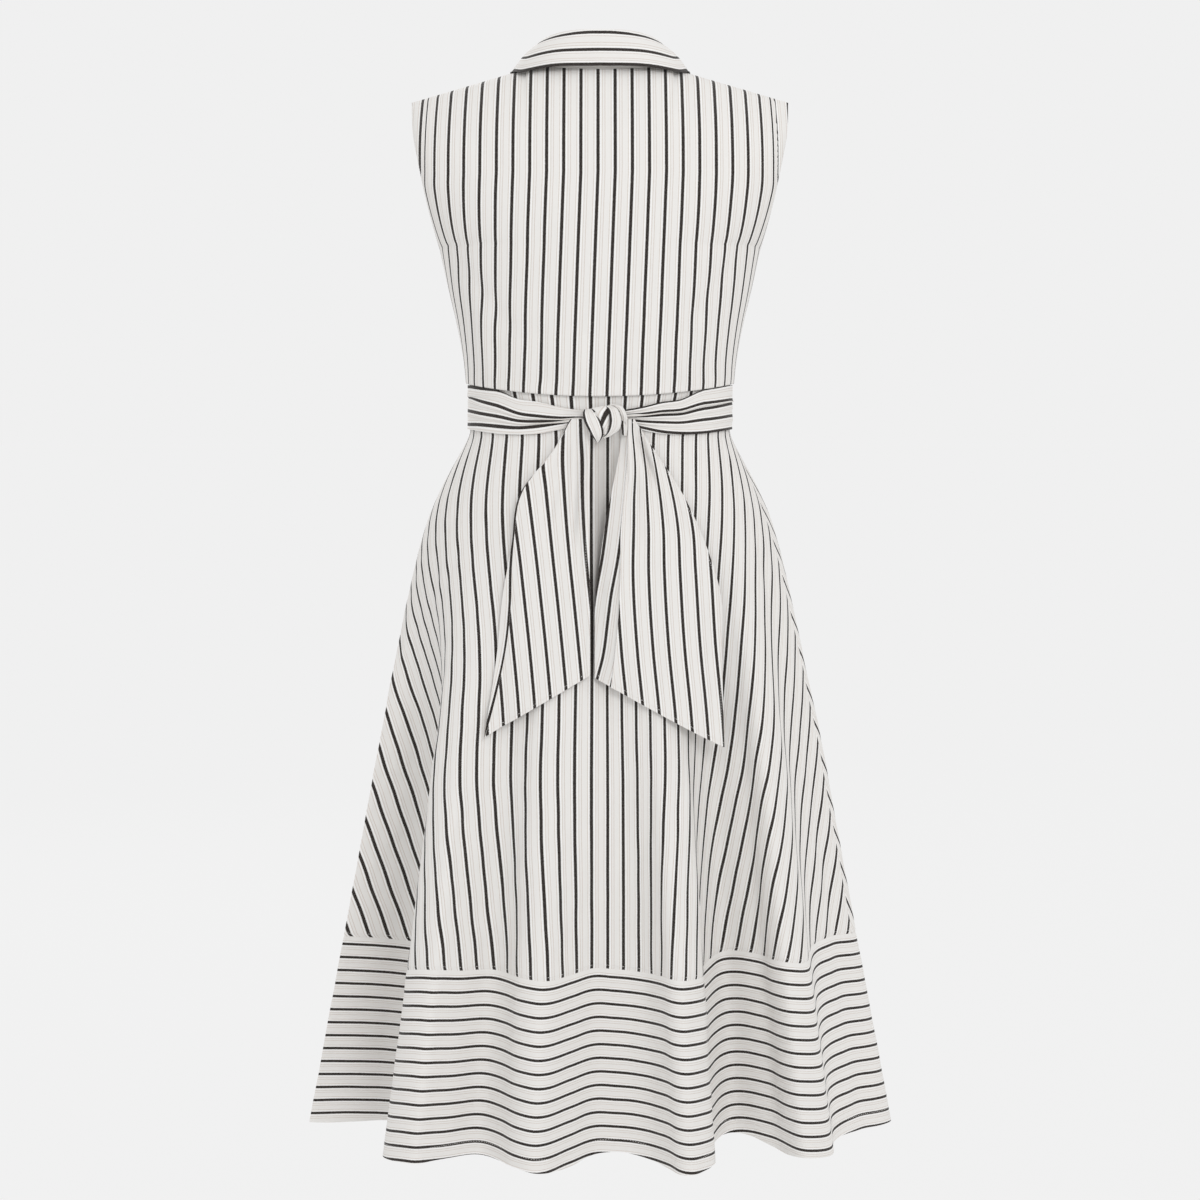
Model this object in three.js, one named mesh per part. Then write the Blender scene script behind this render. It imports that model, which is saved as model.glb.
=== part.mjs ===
// A sleeveless striped shirt dress, worn but empty: turned-down collar, bodice that blouses over the waist,
// flared skirt with a hem band, button front, and a sash tied in a half knot at the back.
// Millimetres. +Z up, +Y the way the wearer faces, +X to the wearer's right.
// The origin lies midway between the shoulders, near the neck ends of the shoulder seams.
import * as THREE from "three";

// Driving sizes
const seamGap = 0.3;
const cloth = 1.2; // wall of a cut panel
const doubled = 1.6; // wall of a collar piece or a sash end, two layers of cloth
const bulge = 2.3; // exponent of the body's rounded sections

const shoulder = { neckX: 72, tipX: 185.7, neckZ: 6, slope: 0.31, roll: 80 };
const neck = { back: 60, front: 70, backDrop: 12, frontDrop: 68 };
const armhole = { topZ: -30, height: 140, backCut: 46, frontCut: 42, roundness: 0.7 };
const bodiceHem = { sideZ: -308, backDip: 9.5, lip: 3, lipHeight: 9 };
const waist = { halfWidth: 129.2, back: 94, front: 92, topZ: -300, bottomZ: -352 };
const skirt = { length: 695, wall: 1.3, foldStart: 0.06, foldFull: 0.5 };
const hip = { share: 0.18, reach: 0.1, power: 1.4 }; // how fast the skirt opens below the waist
const bandTopZ = -866;
const plainHem = { halfWidth: 294, back: 128, front: 165 };
// Depth of each side seam at the waist, at the unfolded hem and at the hem.
const sideSeam = { right: [-12, -55, 4], left: [12, 30, 14] };
const sash = { thickness: 2.4, underLip: 0.6 };
const placket = { halfWidth: 16, topRow: 0.995, skirtTopZ: -352.4, aboveHem: 0.6 };
const button = { radius: 5.5, thickness: 2.6, stand: 0.4, sides: 12 };
const buttonsAt = { bodice: [-98, -158, -218, -278], skirt: [-405, -500, -595, -690, -785, -890] };
const fold = { halfWidth: 57, back: 50, front: 57, z: 37, frontDrop: 70 }; // where the collar turns down
const leaf = { topAt: 171, pointAt: 150, planPower: 0.8, dropPower: 1.7 };
const leafRise = { crown: 2, overStand: 0.8, overShoulders: 2.4 };
const knot = { x: 4.5, z: -342.6, halfWidth: 21.8, halfDepth: 11.6, halfHeight: 15.5, tilt: -0.18 };
const knotPleats = { count: 5, depth: 0.06 };
const tail = { topZ: -351.6, ripple: 3, ripples: 2.5, drape: 120 };

// Sections of the bodice, from above the shoulders down to the waist: half width at the side seams,
// and depth behind and in front of them.
const torso = [
  { z: 10, half: 185.7, back: 66, front: 60 },
  { z: -30, half: 185.7, back: 76, front: 64 },
  { z: -60, half: 183.0, back: 87, front: 73 },
  { z: -90, half: 176.8, back: 95, front: 90 },
  { z: -130, half: 168.4, back: 102, front: 113 },
  { z: -170, half: 159.0, back: 105, front: 126 },
  { z: -210, half: 150.4, back: 105, front: 123 },
  { z: -250, half: 141.0, back: 104, front: 112 },
  { z: -290, half: 134.6, back: 102, front: 102 },
  { z: -311, half: 133.0, back: 98, front: 96 },
  { z: -320, half: 133.0, back: 98, front: 96 },
];

// The hem seen from above: first from the centre back to the wearer's right side.
const backRightHem = [
  { name: "centre trough", x: 0, y: -110 },
  { name: "trough, right end", x: 46, y: -116 },
  { name: "right fold crest", x: 88, y: -160 },
  { name: "right fold edge", x: 109, y: -134 },
  { name: "behind the right fold", x: 109, y: -92 },
  { name: "right valley", x: 132, y: -58 },
  { name: "rise to the outer crest", x: 166, y: -80 },
  { name: "outer right crest", x: 200, y: -117 },
  { name: "outer right edge", x: 224, y: -98 },
  { name: "behind the outer edge", x: 229, y: -60 },
  { name: "right side", x: 256, y: -36 },
  { name: "right outline", x: 294, y: 6 },
];
// The front folds: degrees round from the right side, and reach as a share of the plain hem.
const frontFolds = [
  { name: "first trough", angle: 16, reach: 0.9 },
  { name: "first crest", angle: 30, reach: 1.1 },
  { name: "second trough", angle: 43, reach: 0.88 },
  { name: "second crest", angle: 56, reach: 1.12 },
  { name: "third trough", angle: 68, reach: 0.86 },
  { name: "right of the button front", angle: 80, reach: 1.08 },
  { name: "centre front", angle: 90, reach: 1.05 },
  { name: "left of the button front", angle: 101, reach: 1.09 },
  { name: "fourth trough", angle: 113, reach: 0.87 },
  { name: "fourth crest", angle: 124, reach: 1.1 },
  { name: "fifth trough", angle: 138, reach: 0.89 },
  { name: "fifth crest", angle: 151, reach: 1.09 },
  { name: "sixth trough", angle: 165, reach: 0.91 },
];
const backLeftHem = [
  { name: "left outline", x: -294, y: 4 },
  { name: "left side", x: -246, y: 18 },
  { name: "deep fold floor", x: -192, y: 20 },
  { name: "deep fold turn", x: -166, y: -10 },
  { name: "deep fold return", x: -188, y: -62 },
  { name: "left fold edge", x: -209, y: -112 },
  { name: "left fold crest", x: -180, y: -152 },
  { name: "left trough", x: -118, y: -110 },
  { name: "centre left crest", x: -60, y: -161 },
  { name: "rise from the centre", x: -28, y: -132 },
];

// The sash narrows from the sides of the waist to the knot at the centre back.
const sashEdges = [
  { x: 0, topZ: -333, bottomZ: -351 },
  { x: 20, topZ: -331, bottomZ: -351 },
  { x: 58, topZ: -320, bottomZ: -351 },
  { x: 94, topZ: -312, bottomZ: -351 },
  { x: 140, topZ: -308, bottomZ: -351 },
];

// Sash ends: their side edges on the way down, and how far they stand off the skirt.
const leftTail = [
  { z: -351, x0: -32, x1: -7, off: 0.4 },
  { z: -366, x0: -43, x1: -7, off: 3 },
  { z: -409, x0: -76, x1: -7, off: 6 },
  { z: -459, x0: -85, x1: -7, off: 7 },
  { z: -510, x0: -94, x1: -7, off: 7 },
  { z: -561, x0: -99, x1: -8, off: 6 },
  { z: -610, x0: -106, x1: -12, off: 5 },
  { z: -660, x0: -114, x1: -17, off: 5 },
];
const rightTail = [
  { z: -351, x0: 20, x1: 42, off: 0.4 },
  { z: -366, x0: 20, x1: 51, off: 3 },
  { z: -409, x0: 14, x1: 79, off: 6 },
  { z: -459, x0: 6, x1: 102, off: 7 },
  { z: -510, x0: 0, x1: 117, off: 7 },
  { z: -561, x0: -4.5, x1: 118, off: 7 },
  { z: -610, x0: -5, x1: 119, off: 6 },
  { z: -660, x0: -5, x1: 120.5, off: 6 },
];
const tailEnds = { left: [-643, -583], right: [-586, -654] }; // height of each end's two corners

// Outer edge of the collar leaf: degrees round from the centre back.
const leafEdge = [
  { angle: 0, x: 0, y: -73, z: -4 },
  { angle: 30, x: 43, y: -66, z: -3.5 },
  { angle: 60, x: 76, y: -40, z: 0 },
  { angle: 90, x: 88, y: 0, z: 6 },
  { angle: 110, x: 87, y: 26, z: -7 },
  { angle: 130, x: 74, y: 58, z: -44 },
  { angle: 150, x: 50, y: 84, z: -92 },
  { angle: 171, x: 24, y: 94, z: -98 },
];

// Rows of each panel's grid: shares of the bodice's height, and heights on the skirt and its band.
const bodiceRows = [0, 0.03, 0.13, 0.25, 0.37, 0.49, 0.61, 0.73, 0.83, 0.91, 0.97, 1];
const skirtRows = [-300, -352, -366, -386, -420, -475, -550, -645, -755];
const bandRows = [-955, -1047];
const collarRows = [0, 0.33, 0.67, 1];
const leafRows = [0, 0.1, 0.22, 0.38, 0.58, 0.8, 1];
const tailRows = [-366, -386, -420, -475, -525, -570];
const tailEndShares = [0.35, 0.7, 1];
const panelColumns = { besideNeck: 8, backSkirt: 48, frontSkirt: 18, leaf: 32, tail: 8 };
const neckSteps = [34, 52, 65];
// Columns of a front beside the button front, the same on bodice and skirt.
const placketSteps = [seamGap / 2, 8, 17];
// Columns of a front skirt next to those: share of the ring from the centre front, and millimetres more.
const besidePlacket = [
  { share: 0.012, mm: 17 },
  { share: 0.028, mm: 14 },
  { share: 0.05, mm: 5 },
];
const plainSkirtFrom = 0.07;

const colours = { body: 0xe6e4e1, band: 0xe0dedb, collar: 0xe8e6e3, sash: 0xe9e7e4, button: 0xf1efe9 };

const { lerp, clamp, smoothstep, degToRad } = THREE.MathUtils;

// Smooth curve through keyed values; a period makes it go round.
function smooth(keys, values, at, period = 0) {
  const count = keys.length;
  const wrap = (i) => ((i % count) + count) % count;
  const key = (i) => keys[wrap(i)] + period * Math.floor(i / count);
  const slope = (i) => (values[wrap(i + 1)] - values[wrap(i)]) / (key(i + 1) - key(i));
  const last = period ? count - 1 : count - 2;
  let i = 0;
  while (i < last && at > key(i + 1)) i++;
  const tangent = (j) => {
    if (!period && j === 0) return slope(0);
    if (!period && j === count - 1) return slope(count - 2);
    const before = key(j) - key(j - 1);
    const after = key(j + 1) - key(j);
    return (slope(j - 1) * after + slope(j) * before) / (before + after);
  };
  const step = key(i + 1) - key(i);
  const f = clamp((at - key(i)) / step, 0, 1);
  const rise = f * f * (3 - 2 * f);
  const leave = f * (1 - f) * (1 - f) * step;
  const arrive = f * f * (f - 1) * step;
  return lerp(values[wrap(i)], values[wrap(i + 1)], rise) + leave * tangent(i) + arrive * tangent(i + 1);
}

// Value of a table's column at a key, smooth between its rows.
function read(table, name, keyName, at) {
  const rows = [...table].sort((a, b) => a[keyName] - b[keyName]);
  const keys = rows.map((row) => row[keyName]);
  const values = rows.map((row) => row[name]);
  return smooth(keys, values, at);
}

// A closed plan curve, as a function of the share of its length from the first point.
function closedCurve(points) {
  const keys = [0];
  for (let i = 1; i < points.length; i++) keys.push(keys[i - 1] + points[i].distanceTo(points[i - 1]));
  const period = keys[keys.length - 1] + points[0].distanceTo(points[points.length - 1]);
  const xs = points.map((point) => point.x);
  const ys = points.map((point) => point.y);
  const samples = 1500;
  const line = [];
  for (let i = 0; i <= samples; i++) {
    const at = (period * i) / samples;
    line.push(new THREE.Vector2(smooth(keys, xs, at, period), smooth(keys, ys, at, period)));
  }
  const run = [0];
  for (let i = 1; i <= samples; i++) run.push(run[i - 1] + line[i].distanceTo(line[i - 1]));
  return (share) => {
    const at = (share - Math.floor(share)) * run[samples];
    let low = 0;
    let high = samples;
    while (high - low > 1) {
      const middle = (low + high) >> 1;
      if (run[middle] > at) high = middle;
      else low = middle;
    }
    return line[low].clone().lerp(line[high], (at - run[low]) / (run[high] - run[low]));
  };
}

// A rounded oval that starts at the centre back and goes round by the wearer's right.
function oval({ halfWidth, back, front }, power) {
  const points = [];
  const count = 96;
  for (let i = 0; i < count; i++) {
    const angle = (2 * Math.PI * i) / count;
    const depth = Math.cos(angle) > 0 ? back : front;
    const across = Math.sign(Math.sin(angle)) * Math.abs(Math.sin(angle)) ** (2 / power);
    const along = Math.sign(Math.cos(angle)) * Math.abs(Math.cos(angle)) ** (2 / power);
    points.push(new THREE.Vector2(halfWidth * across, -depth * along));
  }
  return closedCurve(points);
}

function shareNear(curve, place) {
  const samples = 4000;
  let best = 0;
  for (let i = 1; i < samples; i++) {
    if (curve(i / samples).distanceTo(place) < curve(best).distanceTo(place)) best = i / samples;
  }
  return best;
}

// The same curve, run so that the right seam falls at a quarter of it, the centre front at a half
// and the left seam at three quarters.
function stationed(curve, rightSeam, centreFront, leftSeam) {
  const marks = [0, ...[rightSeam, centreFront, leftSeam].map((place) => shareNear(curve, place)), 1];
  return (station) => {
    const quarter = (station - Math.floor(station)) * 4;
    const k = Math.floor(quarter);
    return curve(lerp(marks[k], marks[k + 1], quarter - k));
  };
}

function stationedOval(size, power, rightY, leftY) {
  const widthAt = (y) => {
    const share = Math.abs(y) / (y < 0 ? size.back : size.front);
    return size.halfWidth * (1 - share ** power) ** (1 / power);
  };
  const right = new THREE.Vector2(widthAt(rightY), rightY);
  const left = new THREE.Vector2(-widthAt(leftY), leftY);
  return stationed(oval(size, power), right, new THREE.Vector2(0, size.front), left);
}

function foldedHem() {
  const plan = ({ x, y }) => new THREE.Vector2(x, y);
  const front = frontFolds.map(({ angle, reach }) => {
    const turn = degToRad(angle);
    return new THREE.Vector2(
      plainHem.halfWidth * Math.cos(turn) * reach,
      plainHem.front * Math.sin(turn) * reach,
    );
  });
  const curve = closedCurve([...backRightHem.map(plan), ...front, ...backLeftHem.map(plan)]);
  const right = new THREE.Vector2(plainHem.halfWidth, sideSeam.right[2]);
  const left = new THREE.Vector2(-plainHem.halfWidth, sideSeam.left[2]);
  return stationed(curve, right, new THREE.Vector2(0, plainHem.front), left);
}

const waistRing = stationedOval(waist, bulge, sideSeam.right[0], sideSeam.left[0]);
const plainHemRing = stationedOval(plainHem, 2, sideSeam.right[1], sideSeam.left[1]);
const foldedHemRing = foldedHem();

// The skirt's ring at a height: the waist opens out over the hips, and the folds deepen towards the hem.
function skirtRing(station, z) {
  const down = Math.max(0, (waist.bottomZ - z) / skirt.length);
  const overHip = 1 - Math.exp(-((down / hip.reach) ** hip.power));
  const flare = (1 - hip.share) * down + hip.share * overHip;
  const folded = flare * smoothstep(down, skirt.foldStart, skirt.foldFull);
  const plain = plainHemRing(station);
  const point = waistRing(station).lerp(plain, flare);
  return point.addScaledVector(foldedHemRing(station).sub(plain), folded);
}

// A point of the skirt, millimetres along the ring from a station, moved out by a distance.
function skirtPoint({ station, mm = 0 }, z, out = 0) {
  const step = 0.0008;
  const across = skirtRing(station + step, z).sub(skirtRing(station - step, z));
  const at = station + (mm * 2 * step) / across.length();
  const tangent = skirtRing(at + step, z)
    .sub(skirtRing(at - step, z))
    .normalize();
  const point = skirtRing(at, z);
  return new THREE.Vector3(point.x + tangent.y * out, point.y - tangent.x * out, z);
}

// Stations between two seams, closer together where the hem bends more.
function stationsBetween(from, to, count) {
  const samples = 600;
  const step = 0.002;
  const weights = [0];
  for (let i = 0; i < samples; i++) {
    const at = lerp(from, to, (i + 0.5) / samples);
    const before = foldedHemRing(at).sub(foldedHemRing(at - step));
    const after = foldedHemRing(at + step).sub(foldedHemRing(at));
    const turn = Math.abs(before.angle() - after.angle());
    weights.push(weights[i] + 0.05 + Math.min(turn, 2 * Math.PI - turn));
  }
  const stations = [];
  let k = 0;
  for (let i = 0; i <= count; i++) {
    const target = (weights[samples] * i) / count;
    while (k < samples - 1 && weights[k + 1] < target) k++;
    const f = (target - weights[k]) / (weights[k + 1] - weights[k]);
    stations.push(lerp(from, to, Math.min(1, (k + f) / samples)));
  }
  return stations;
}

// Height of the bodice's top edge: the neckline near the middle, the shoulder seam beyond it.
function bodiceTopZ(x, side) {
  const away = Math.abs(x);
  if (away > shoulder.neckX) return shoulder.neckZ - shoulder.slope * (away - shoulder.neckX);
  const drop = side > 0 ? neck.frontDrop : neck.backDrop;
  return shoulder.neckZ - drop * (1 - (away / shoulder.neckX) ** 2);
}

function bodiceBottomZ(x, side) {
  const dip = side < 0 ? bodiceHem.backDip : 0;
  return bodiceHem.sideZ - dip * (1 - Math.min(1, Math.abs(x) / shoulder.tipX) ** 2);
}

// Distance of the bodice from the plane of the side seams, behind it (side -1) or in front (side 1).
function bodiceDepth(x, z, side, topX) {
  const half = read(torso, "half", "z", z);
  const middle = read(torso, side < 0 ? "back" : "front", "z", z);
  const armShare = clamp((armhole.topZ - z) / armhole.height, 0, 1);
  const deepest = side < 0 ? armhole.backCut : armhole.frontCut;
  const cut = deepest * Math.sin(Math.PI * armShare) ** armhole.roundness;
  const away = Math.min(1, Math.abs(x) / half);
  const section = cut + (middle - cut) * (1 - away ** bulge) ** (1 / bulge);
  const neckShare = Math.min(1, Math.abs(topX) / shoulder.neckX);
  const atTop = (side < 0 ? neck.back : neck.front) * Math.sqrt(1 - neckShare ** 2);
  const below = clamp((bodiceTopZ(topX, side) - z) / shoulder.roll, 0, 1);
  return atTop + (section - atTop) * Math.sqrt(1 - (1 - below) ** 2);
}

// A bodice column is known by its x at the top edge. It narrows with the body, or keeps its x if fixed.
function bodicePoint({ x: topX, fixed }, row, side) {
  const z = lerp(bodiceBottomZ(topX, side), bodiceTopZ(topX, side), row);
  const x = fixed ? topX : (topX * read(torso, "half", "z", z)) / shoulder.tipX;
  return new THREE.Vector3(x, side * Math.max(bodiceDepth(x, z, side, topX), seamGap / 2), z);
}

function bodiceNormal(column, row, side) {
  const step = 0.4;
  const moved = (by) => ({ ...column, x: clamp(column.x + by, -shoulder.tipX, shoulder.tipX) });
  const across = bodicePoint(moved(step), row, side).sub(bodicePoint(moved(-step), row, side));
  const rowStep = 0.004;
  const up = bodicePoint(column, Math.min(1, row + rowStep), side);
  up.sub(bodicePoint(column, Math.max(0, row - rowStep), side));
  return across.cross(up).normalize().multiplyScalar(-side);
}

// The bodice moved out by a distance (in, if negative), kept on its own side of the shoulder seam.
function bodiceAt(column, row, side, out) {
  const point = bodicePoint(column, row, side).addScaledVector(bodiceNormal(column, row, side), out);
  point.y = side * Math.max(side * point.y, seamGap / 2);
  return point;
}

// Wall of the bodice, thicker at the bottom edge, which rolls under where it blouses over the sash.
function bodiceWall(row) {
  const height = row * (shoulder.neckZ - bodiceHem.sideZ);
  return cloth + (bodiceHem.lip - cloth) * Math.max(0, 1 - height / bodiceHem.lipHeight);
}

// A geometry with its faces pointing out, whichever way its grid ran.
function facingOut(positions, faces) {
  let volume = 0;
  for (let i = 0; i < faces.length; i += 3) {
    const [a, b, c] = [0, 1, 2].map((k) => positions[faces[i + k]]);
    volume += a.dot(b.clone().cross(c));
  }
  if (volume < 0) faces.reverse();
  const geometry = new THREE.BufferGeometry();
  const values = positions.flatMap((point) => point.toArray());
  geometry.setAttribute("position", new THREE.Float32BufferAttribute(values, 3));
  geometry.setIndex(faces);
  geometry.computeVertexNormals();
  return geometry;
}

// A closed wall between an outer and an inner grid of points; a closed one goes round, with no side rims.
function wall(outer, inner, closed = false) {
  const rows = outer.length;
  const columns = outer[0].length;
  const at = (layer, r, c) => layer * rows * columns + r * columns + (c % columns);
  const faces = [];
  const quad = (a, b, c, d) => faces.push(a, b, c, a, c, d);
  const top = rows - 1;
  const last = columns - 1;
  for (let c = 0; c < (closed ? columns : last); c++) {
    for (let r = 0; r < top; r++) {
      quad(at(0, r, c), at(0, r, c + 1), at(0, r + 1, c + 1), at(0, r + 1, c));
      quad(at(1, r + 1, c), at(1, r + 1, c + 1), at(1, r, c + 1), at(1, r, c));
    }
    quad(at(1, 0, c), at(1, 0, c + 1), at(0, 0, c + 1), at(0, 0, c));
    quad(at(0, top, c), at(0, top, c + 1), at(1, top, c + 1), at(1, top, c));
  }
  for (let r = 0; r < top && !closed; r++) {
    quad(at(1, r, 0), at(0, r, 0), at(0, r + 1, 0), at(1, r + 1, 0));
    quad(at(0, r, last), at(1, r, last), at(1, r + 1, last), at(0, r + 1, last));
  }
  return facingOut([...outer.flat(), ...inner.flat()], faces);
}

const grid = (rows, columns, point) => rows.map((row) => columns.map((column) => point(row, column)));

function named(name, geometry, colour) {
  const material = new THREE.MeshStandardMaterial({ color: colour, roughness: 0.85, metalness: 0 });
  const mesh = new THREE.Mesh(geometry, material);
  mesh.name = name;
  return mesh;
}

// Bodice columns from one x of the top edge to another, closer together near the side seams.
function bodiceColumns(from, to, count) {
  const angleOf = (x) => Math.sign(x) * Math.asin((Math.abs(x) / shoulder.tipX) ** (bulge / 2));
  const columns = [];
  for (let i = 0; i <= count; i++) {
    const angle = lerp(angleOf(from), angleOf(to), i / count);
    columns.push({ x: Math.sign(angle) * shoulder.tipX * Math.abs(Math.sin(angle)) ** (2 / bulge) });
  }
  return columns;
}

function bodicePanel(name, columns, side) {
  const outer = grid(bodiceRows, columns, (row, column) => bodiceAt(column, row, side, 0));
  const inner = grid(bodiceRows, columns, (row, column) => bodiceAt(column, row, side, -bodiceWall(row)));
  return named(name, wall(outer, inner), colours.body);
}

function backBodice() {
  const outside = bodiceColumns(shoulder.neckX, shoulder.tipX, panelColumns.besideNeck);
  const overNeck = [0, 16, ...neckSteps].map((x) => ({ x }));
  const right = [...overNeck, ...outside];
  const left = right
    .slice(1)
    .map(({ x }) => ({ x: -x }))
    .reverse();
  return bodicePanel("back_bodice", [...left, ...right], -1);
}

function frontBodice(name, hand) {
  const outside = bodiceColumns(shoulder.neckX, shoulder.tipX, panelColumns.besideNeck);
  const beside = placketSteps.map((x) => ({ x, fixed: true }));
  const columns = [...beside, ...neckSteps.map((x) => ({ x })), ...outside];
  return bodicePanel(name, columns.map((column) => ({ ...column, x: hand * column.x })), 1);
}

// A panel of the skirt or of its band, between two rows of heights.
function skirtPanel(name, columns, rows, colour) {
  const outer = grid(rows, columns, (z, column) => skirtPoint(column, z));
  const inner = grid(rows, columns, (z, column) => skirtPoint(column, z, -skirt.wall));
  return named(name, wall(outer, inner), colour);
}

const halfGap = seamGap / 2;
const atStation = (station) => ({ station });
const backColumns = [
  { station: -0.25, mm: halfGap },
  ...stationsBetween(-0.25, 0.25, panelColumns.backSkirt).slice(1, -1).map(atStation),
  { station: 0.25, mm: -halfGap },
];

// Columns of a front skirt from the centre front to the seam: the wearer's right (hand -1) or left (hand 1).
function frontColumns(hand) {
  const seam = 0.5 + 0.25 * hand;
  const beyond = stationsBetween(0.5 + hand * plainSkirtFrom, seam, panelColumns.frontSkirt);
  return [
    ...placketSteps.map((mm) => ({ station: 0.5, mm: hand * mm })),
    ...besidePlacket.map(({ share, mm }) => ({ station: 0.5 + hand * share, mm: hand * mm })),
    ...beyond.slice(0, -1).map(atStation),
    { station: seam, mm: -hand * halfGap },
  ];
}

const upperRows = [...skirtRows, bandTopZ + halfGap];
const lowerRows = [bandTopZ - halfGap, ...bandRows];

function skirtPanels() {
  return [
    skirtPanel("back_skirt", backColumns, upperRows, colours.body),
    skirtPanel("front_skirt_right", frontColumns(-1), upperRows, colours.body),
    skirtPanel("front_skirt_left", frontColumns(1), upperRows, colours.body),
    skirtPanel("hem_band_back", backColumns, lowerRows, colours.band),
    skirtPanel("hem_band_front_right", frontColumns(-1), lowerRows, colours.band),
    skirtPanel("hem_band_front_left", frontColumns(1), lowerRows, colours.band),
  ];
}

// The collar stand: a column is an x of the neckline on one side of the body, and how far it laps outward.
function standPoint({ x, side, lap = 0 }, row, out = 0) {
  const share = x / shoulder.neckX;
  const deep = Math.sqrt(1 - share ** 2);
  const low = side < 0 ? neck.back : neck.front;
  const high = side < 0 ? fold.back : fold.front;
  const frontDrop = side > 0 ? fold.frontDrop * deep ** 2 : 0;
  const bottom = new THREE.Vector3(x, side * low * deep, bodiceTopZ(x, side) + seamGap);
  const top = new THREE.Vector3(fold.halfWidth * share, side * high * deep, fold.z - frontDrop);
  const outward = new THREE.Vector3(share / shoulder.neckX, (side * deep) / low, 0).normalize();
  return bottom.lerp(top, row).addScaledVector(outward, out + lap);
}

function collarStand() {
  const overlap = doubled + seamGap;
  const neckXs = [...placketSteps, ...neckSteps, shoulder.neckX - 0.6];
  const front = (hand) => neckXs.map((x) => ({ x: hand * x, side: 1 }));
  const back = [...front(-1), { x: 0, side: 1 }, ...front(1)]
    .filter(({ x }) => Math.abs(x) !== placketSteps[0])
    .map(({ x }) => ({ x, side: -1 }))
    .sort((a, b) => a.x - b.x);
  const lapped = [
    { x: placketSteps[1], side: 1, lap: overlap / 2 },
    { x: placketSteps[0], side: 1, lap: overlap },
    { x: -placketSteps[1], side: 1, lap: overlap },
  ];
  const sides = [-1, 1].map((hand) => ({ x: hand * shoulder.neckX, side: 1 }));
  const right = front(1).reverse().slice(0, -2);
  const columns = [...front(-1), sides[0], ...back, sides[1], ...right, ...lapped];
  const outer = grid(collarRows, columns, (row, column) => standPoint(column, row));
  const inner = grid(collarRows, columns, (row, column) => standPoint(column, row, -doubled));
  return named("collar_stand", wall(outer, inner), colours.collar);
}

// Points spread over the shoulders and round the neck, with their normals.
function shoulderCloud() {
  const cloud = [];
  for (const side of [-1, 1]) {
    for (let x = -120; x <= 120; x += 3) {
      for (let row = 0.6; row <= 1; row += 0.01) {
        cloud.push({ point: bodicePoint({ x }, row, side), normal: bodiceNormal({ x }, row, side) });
      }
    }
  }
  return cloud;
}

// A point moved out where it lies closer to the body than a clearance.
function clearOf(cloud, point, clearance) {
  for (let pass = 0; pass < 2; pass++) {
    let nearest = cloud[0];
    for (const spot of cloud) {
      if (spot.point.distanceToSquared(point) < nearest.point.distanceToSquared(point)) nearest = spot;
    }
    const height = point.clone().sub(nearest.point).dot(nearest.normal);
    if (height < clearance) point.addScaledVector(nearest.normal, clearance - height);
  }
  return point;
}

// The line where the collar turns down, over the middle of the stand's top edge.
function foldPoint(angle) {
  const turn = degToRad(angle);
  const inFront = Math.cos(turn) < 0;
  const depth = inFront ? fold.front : fold.back;
  const drop = inFront ? fold.frontDrop * Math.cos(turn) ** 2 : 0;
  return new THREE.Vector3(fold.halfWidth * Math.sin(turn), -depth * Math.cos(turn), fold.z - drop);
}

// The collar leaf turns over the top of the stand and falls to an edge that points in front.
function leafPoint(round, row) {
  const angle = round * lerp(leaf.topAt, leaf.pointAt, clamp((row - 0.2) / 0.6, 0, 1));
  const tangent = foldPoint(angle + 1).sub(foldPoint(angle - 1)).normalize();
  const outward = tangent.clone().cross(new THREE.Vector3(0, 0, 1)).normalize();
  const upward = outward.clone().cross(tangent).normalize();
  const top = foldPoint(angle)
    .addScaledVector(outward, -doubled)
    .addScaledVector(upward, leafRise.overStand + doubled);
  const edge = (name) => read(leafEdge, name, "angle", Math.abs(angle));
  const bottom = new THREE.Vector3(Math.sign(angle) * edge("x"), edge("y"), edge("z"));
  const point = top.clone().lerp(bottom, row ** leaf.planPower);
  point.z = lerp(top.z, bottom.z, row ** leaf.dropPower);
  return point.addScaledVector(upward, leafRise.crown * Math.sin(Math.PI * Math.min(1, row / 0.25)));
}

// Normals of a grid of points, from the neighbours in both directions.
function gridNormals(points) {
  const last = (list) => list.length - 1;
  return points.map((line, r) =>
    line.map((_, c) => {
      const along = line[Math.min(last(line), c + 1)].clone().sub(line[Math.max(0, c - 1)]);
      const up = points[Math.min(last(points), r + 1)][c].clone().sub(points[Math.max(0, r - 1)][c]);
      return along.cross(up).normalize();
    }),
  );
}

function collarLeaf() {
  const cloud = shoulderCloud();
  const rounds = [];
  for (let i = 0; i <= panelColumns.leaf; i++) rounds.push((2 * i) / panelColumns.leaf - 1);
  const outer = grid(leafRows, rounds, (row, round) => {
    const point = leafPoint(round, row);
    return row < 0.3 ? point : clearOf(cloud, point, leafRise.overShoulders);
  });
  const normals = gridNormals(outer);
  const outward = normals[3][rounds.length >> 1].y < 0 ? 1 : -1;
  const inner = outer.map((line, r) =>
    line.map((point, c) => point.clone().addScaledVector(normals[r][c], -outward * doubled)),
  );
  return named("collar_leaf", wall(outer, inner), colours.collar);
}

// Bands of the button front, one on the bodice and one down the skirt and its hem band.
const placketAcross = [-placket.halfWidth, -8, 0, 8, placket.halfWidth];

function placketBodice() {
  const rows = [...bodiceRows.slice(0, -1), placket.topRow];
  const columns = placketAcross.map((x) => ({ x, fixed: true }));
  const outer = grid(rows, columns, (row, column) => bodiceAt(column, row, 1, seamGap + cloth));
  const inner = grid(rows, columns, (row, column) => bodiceAt(column, row, 1, seamGap));
  return named("front_placket_bodice", wall(outer, inner), colours.body);
}

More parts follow.
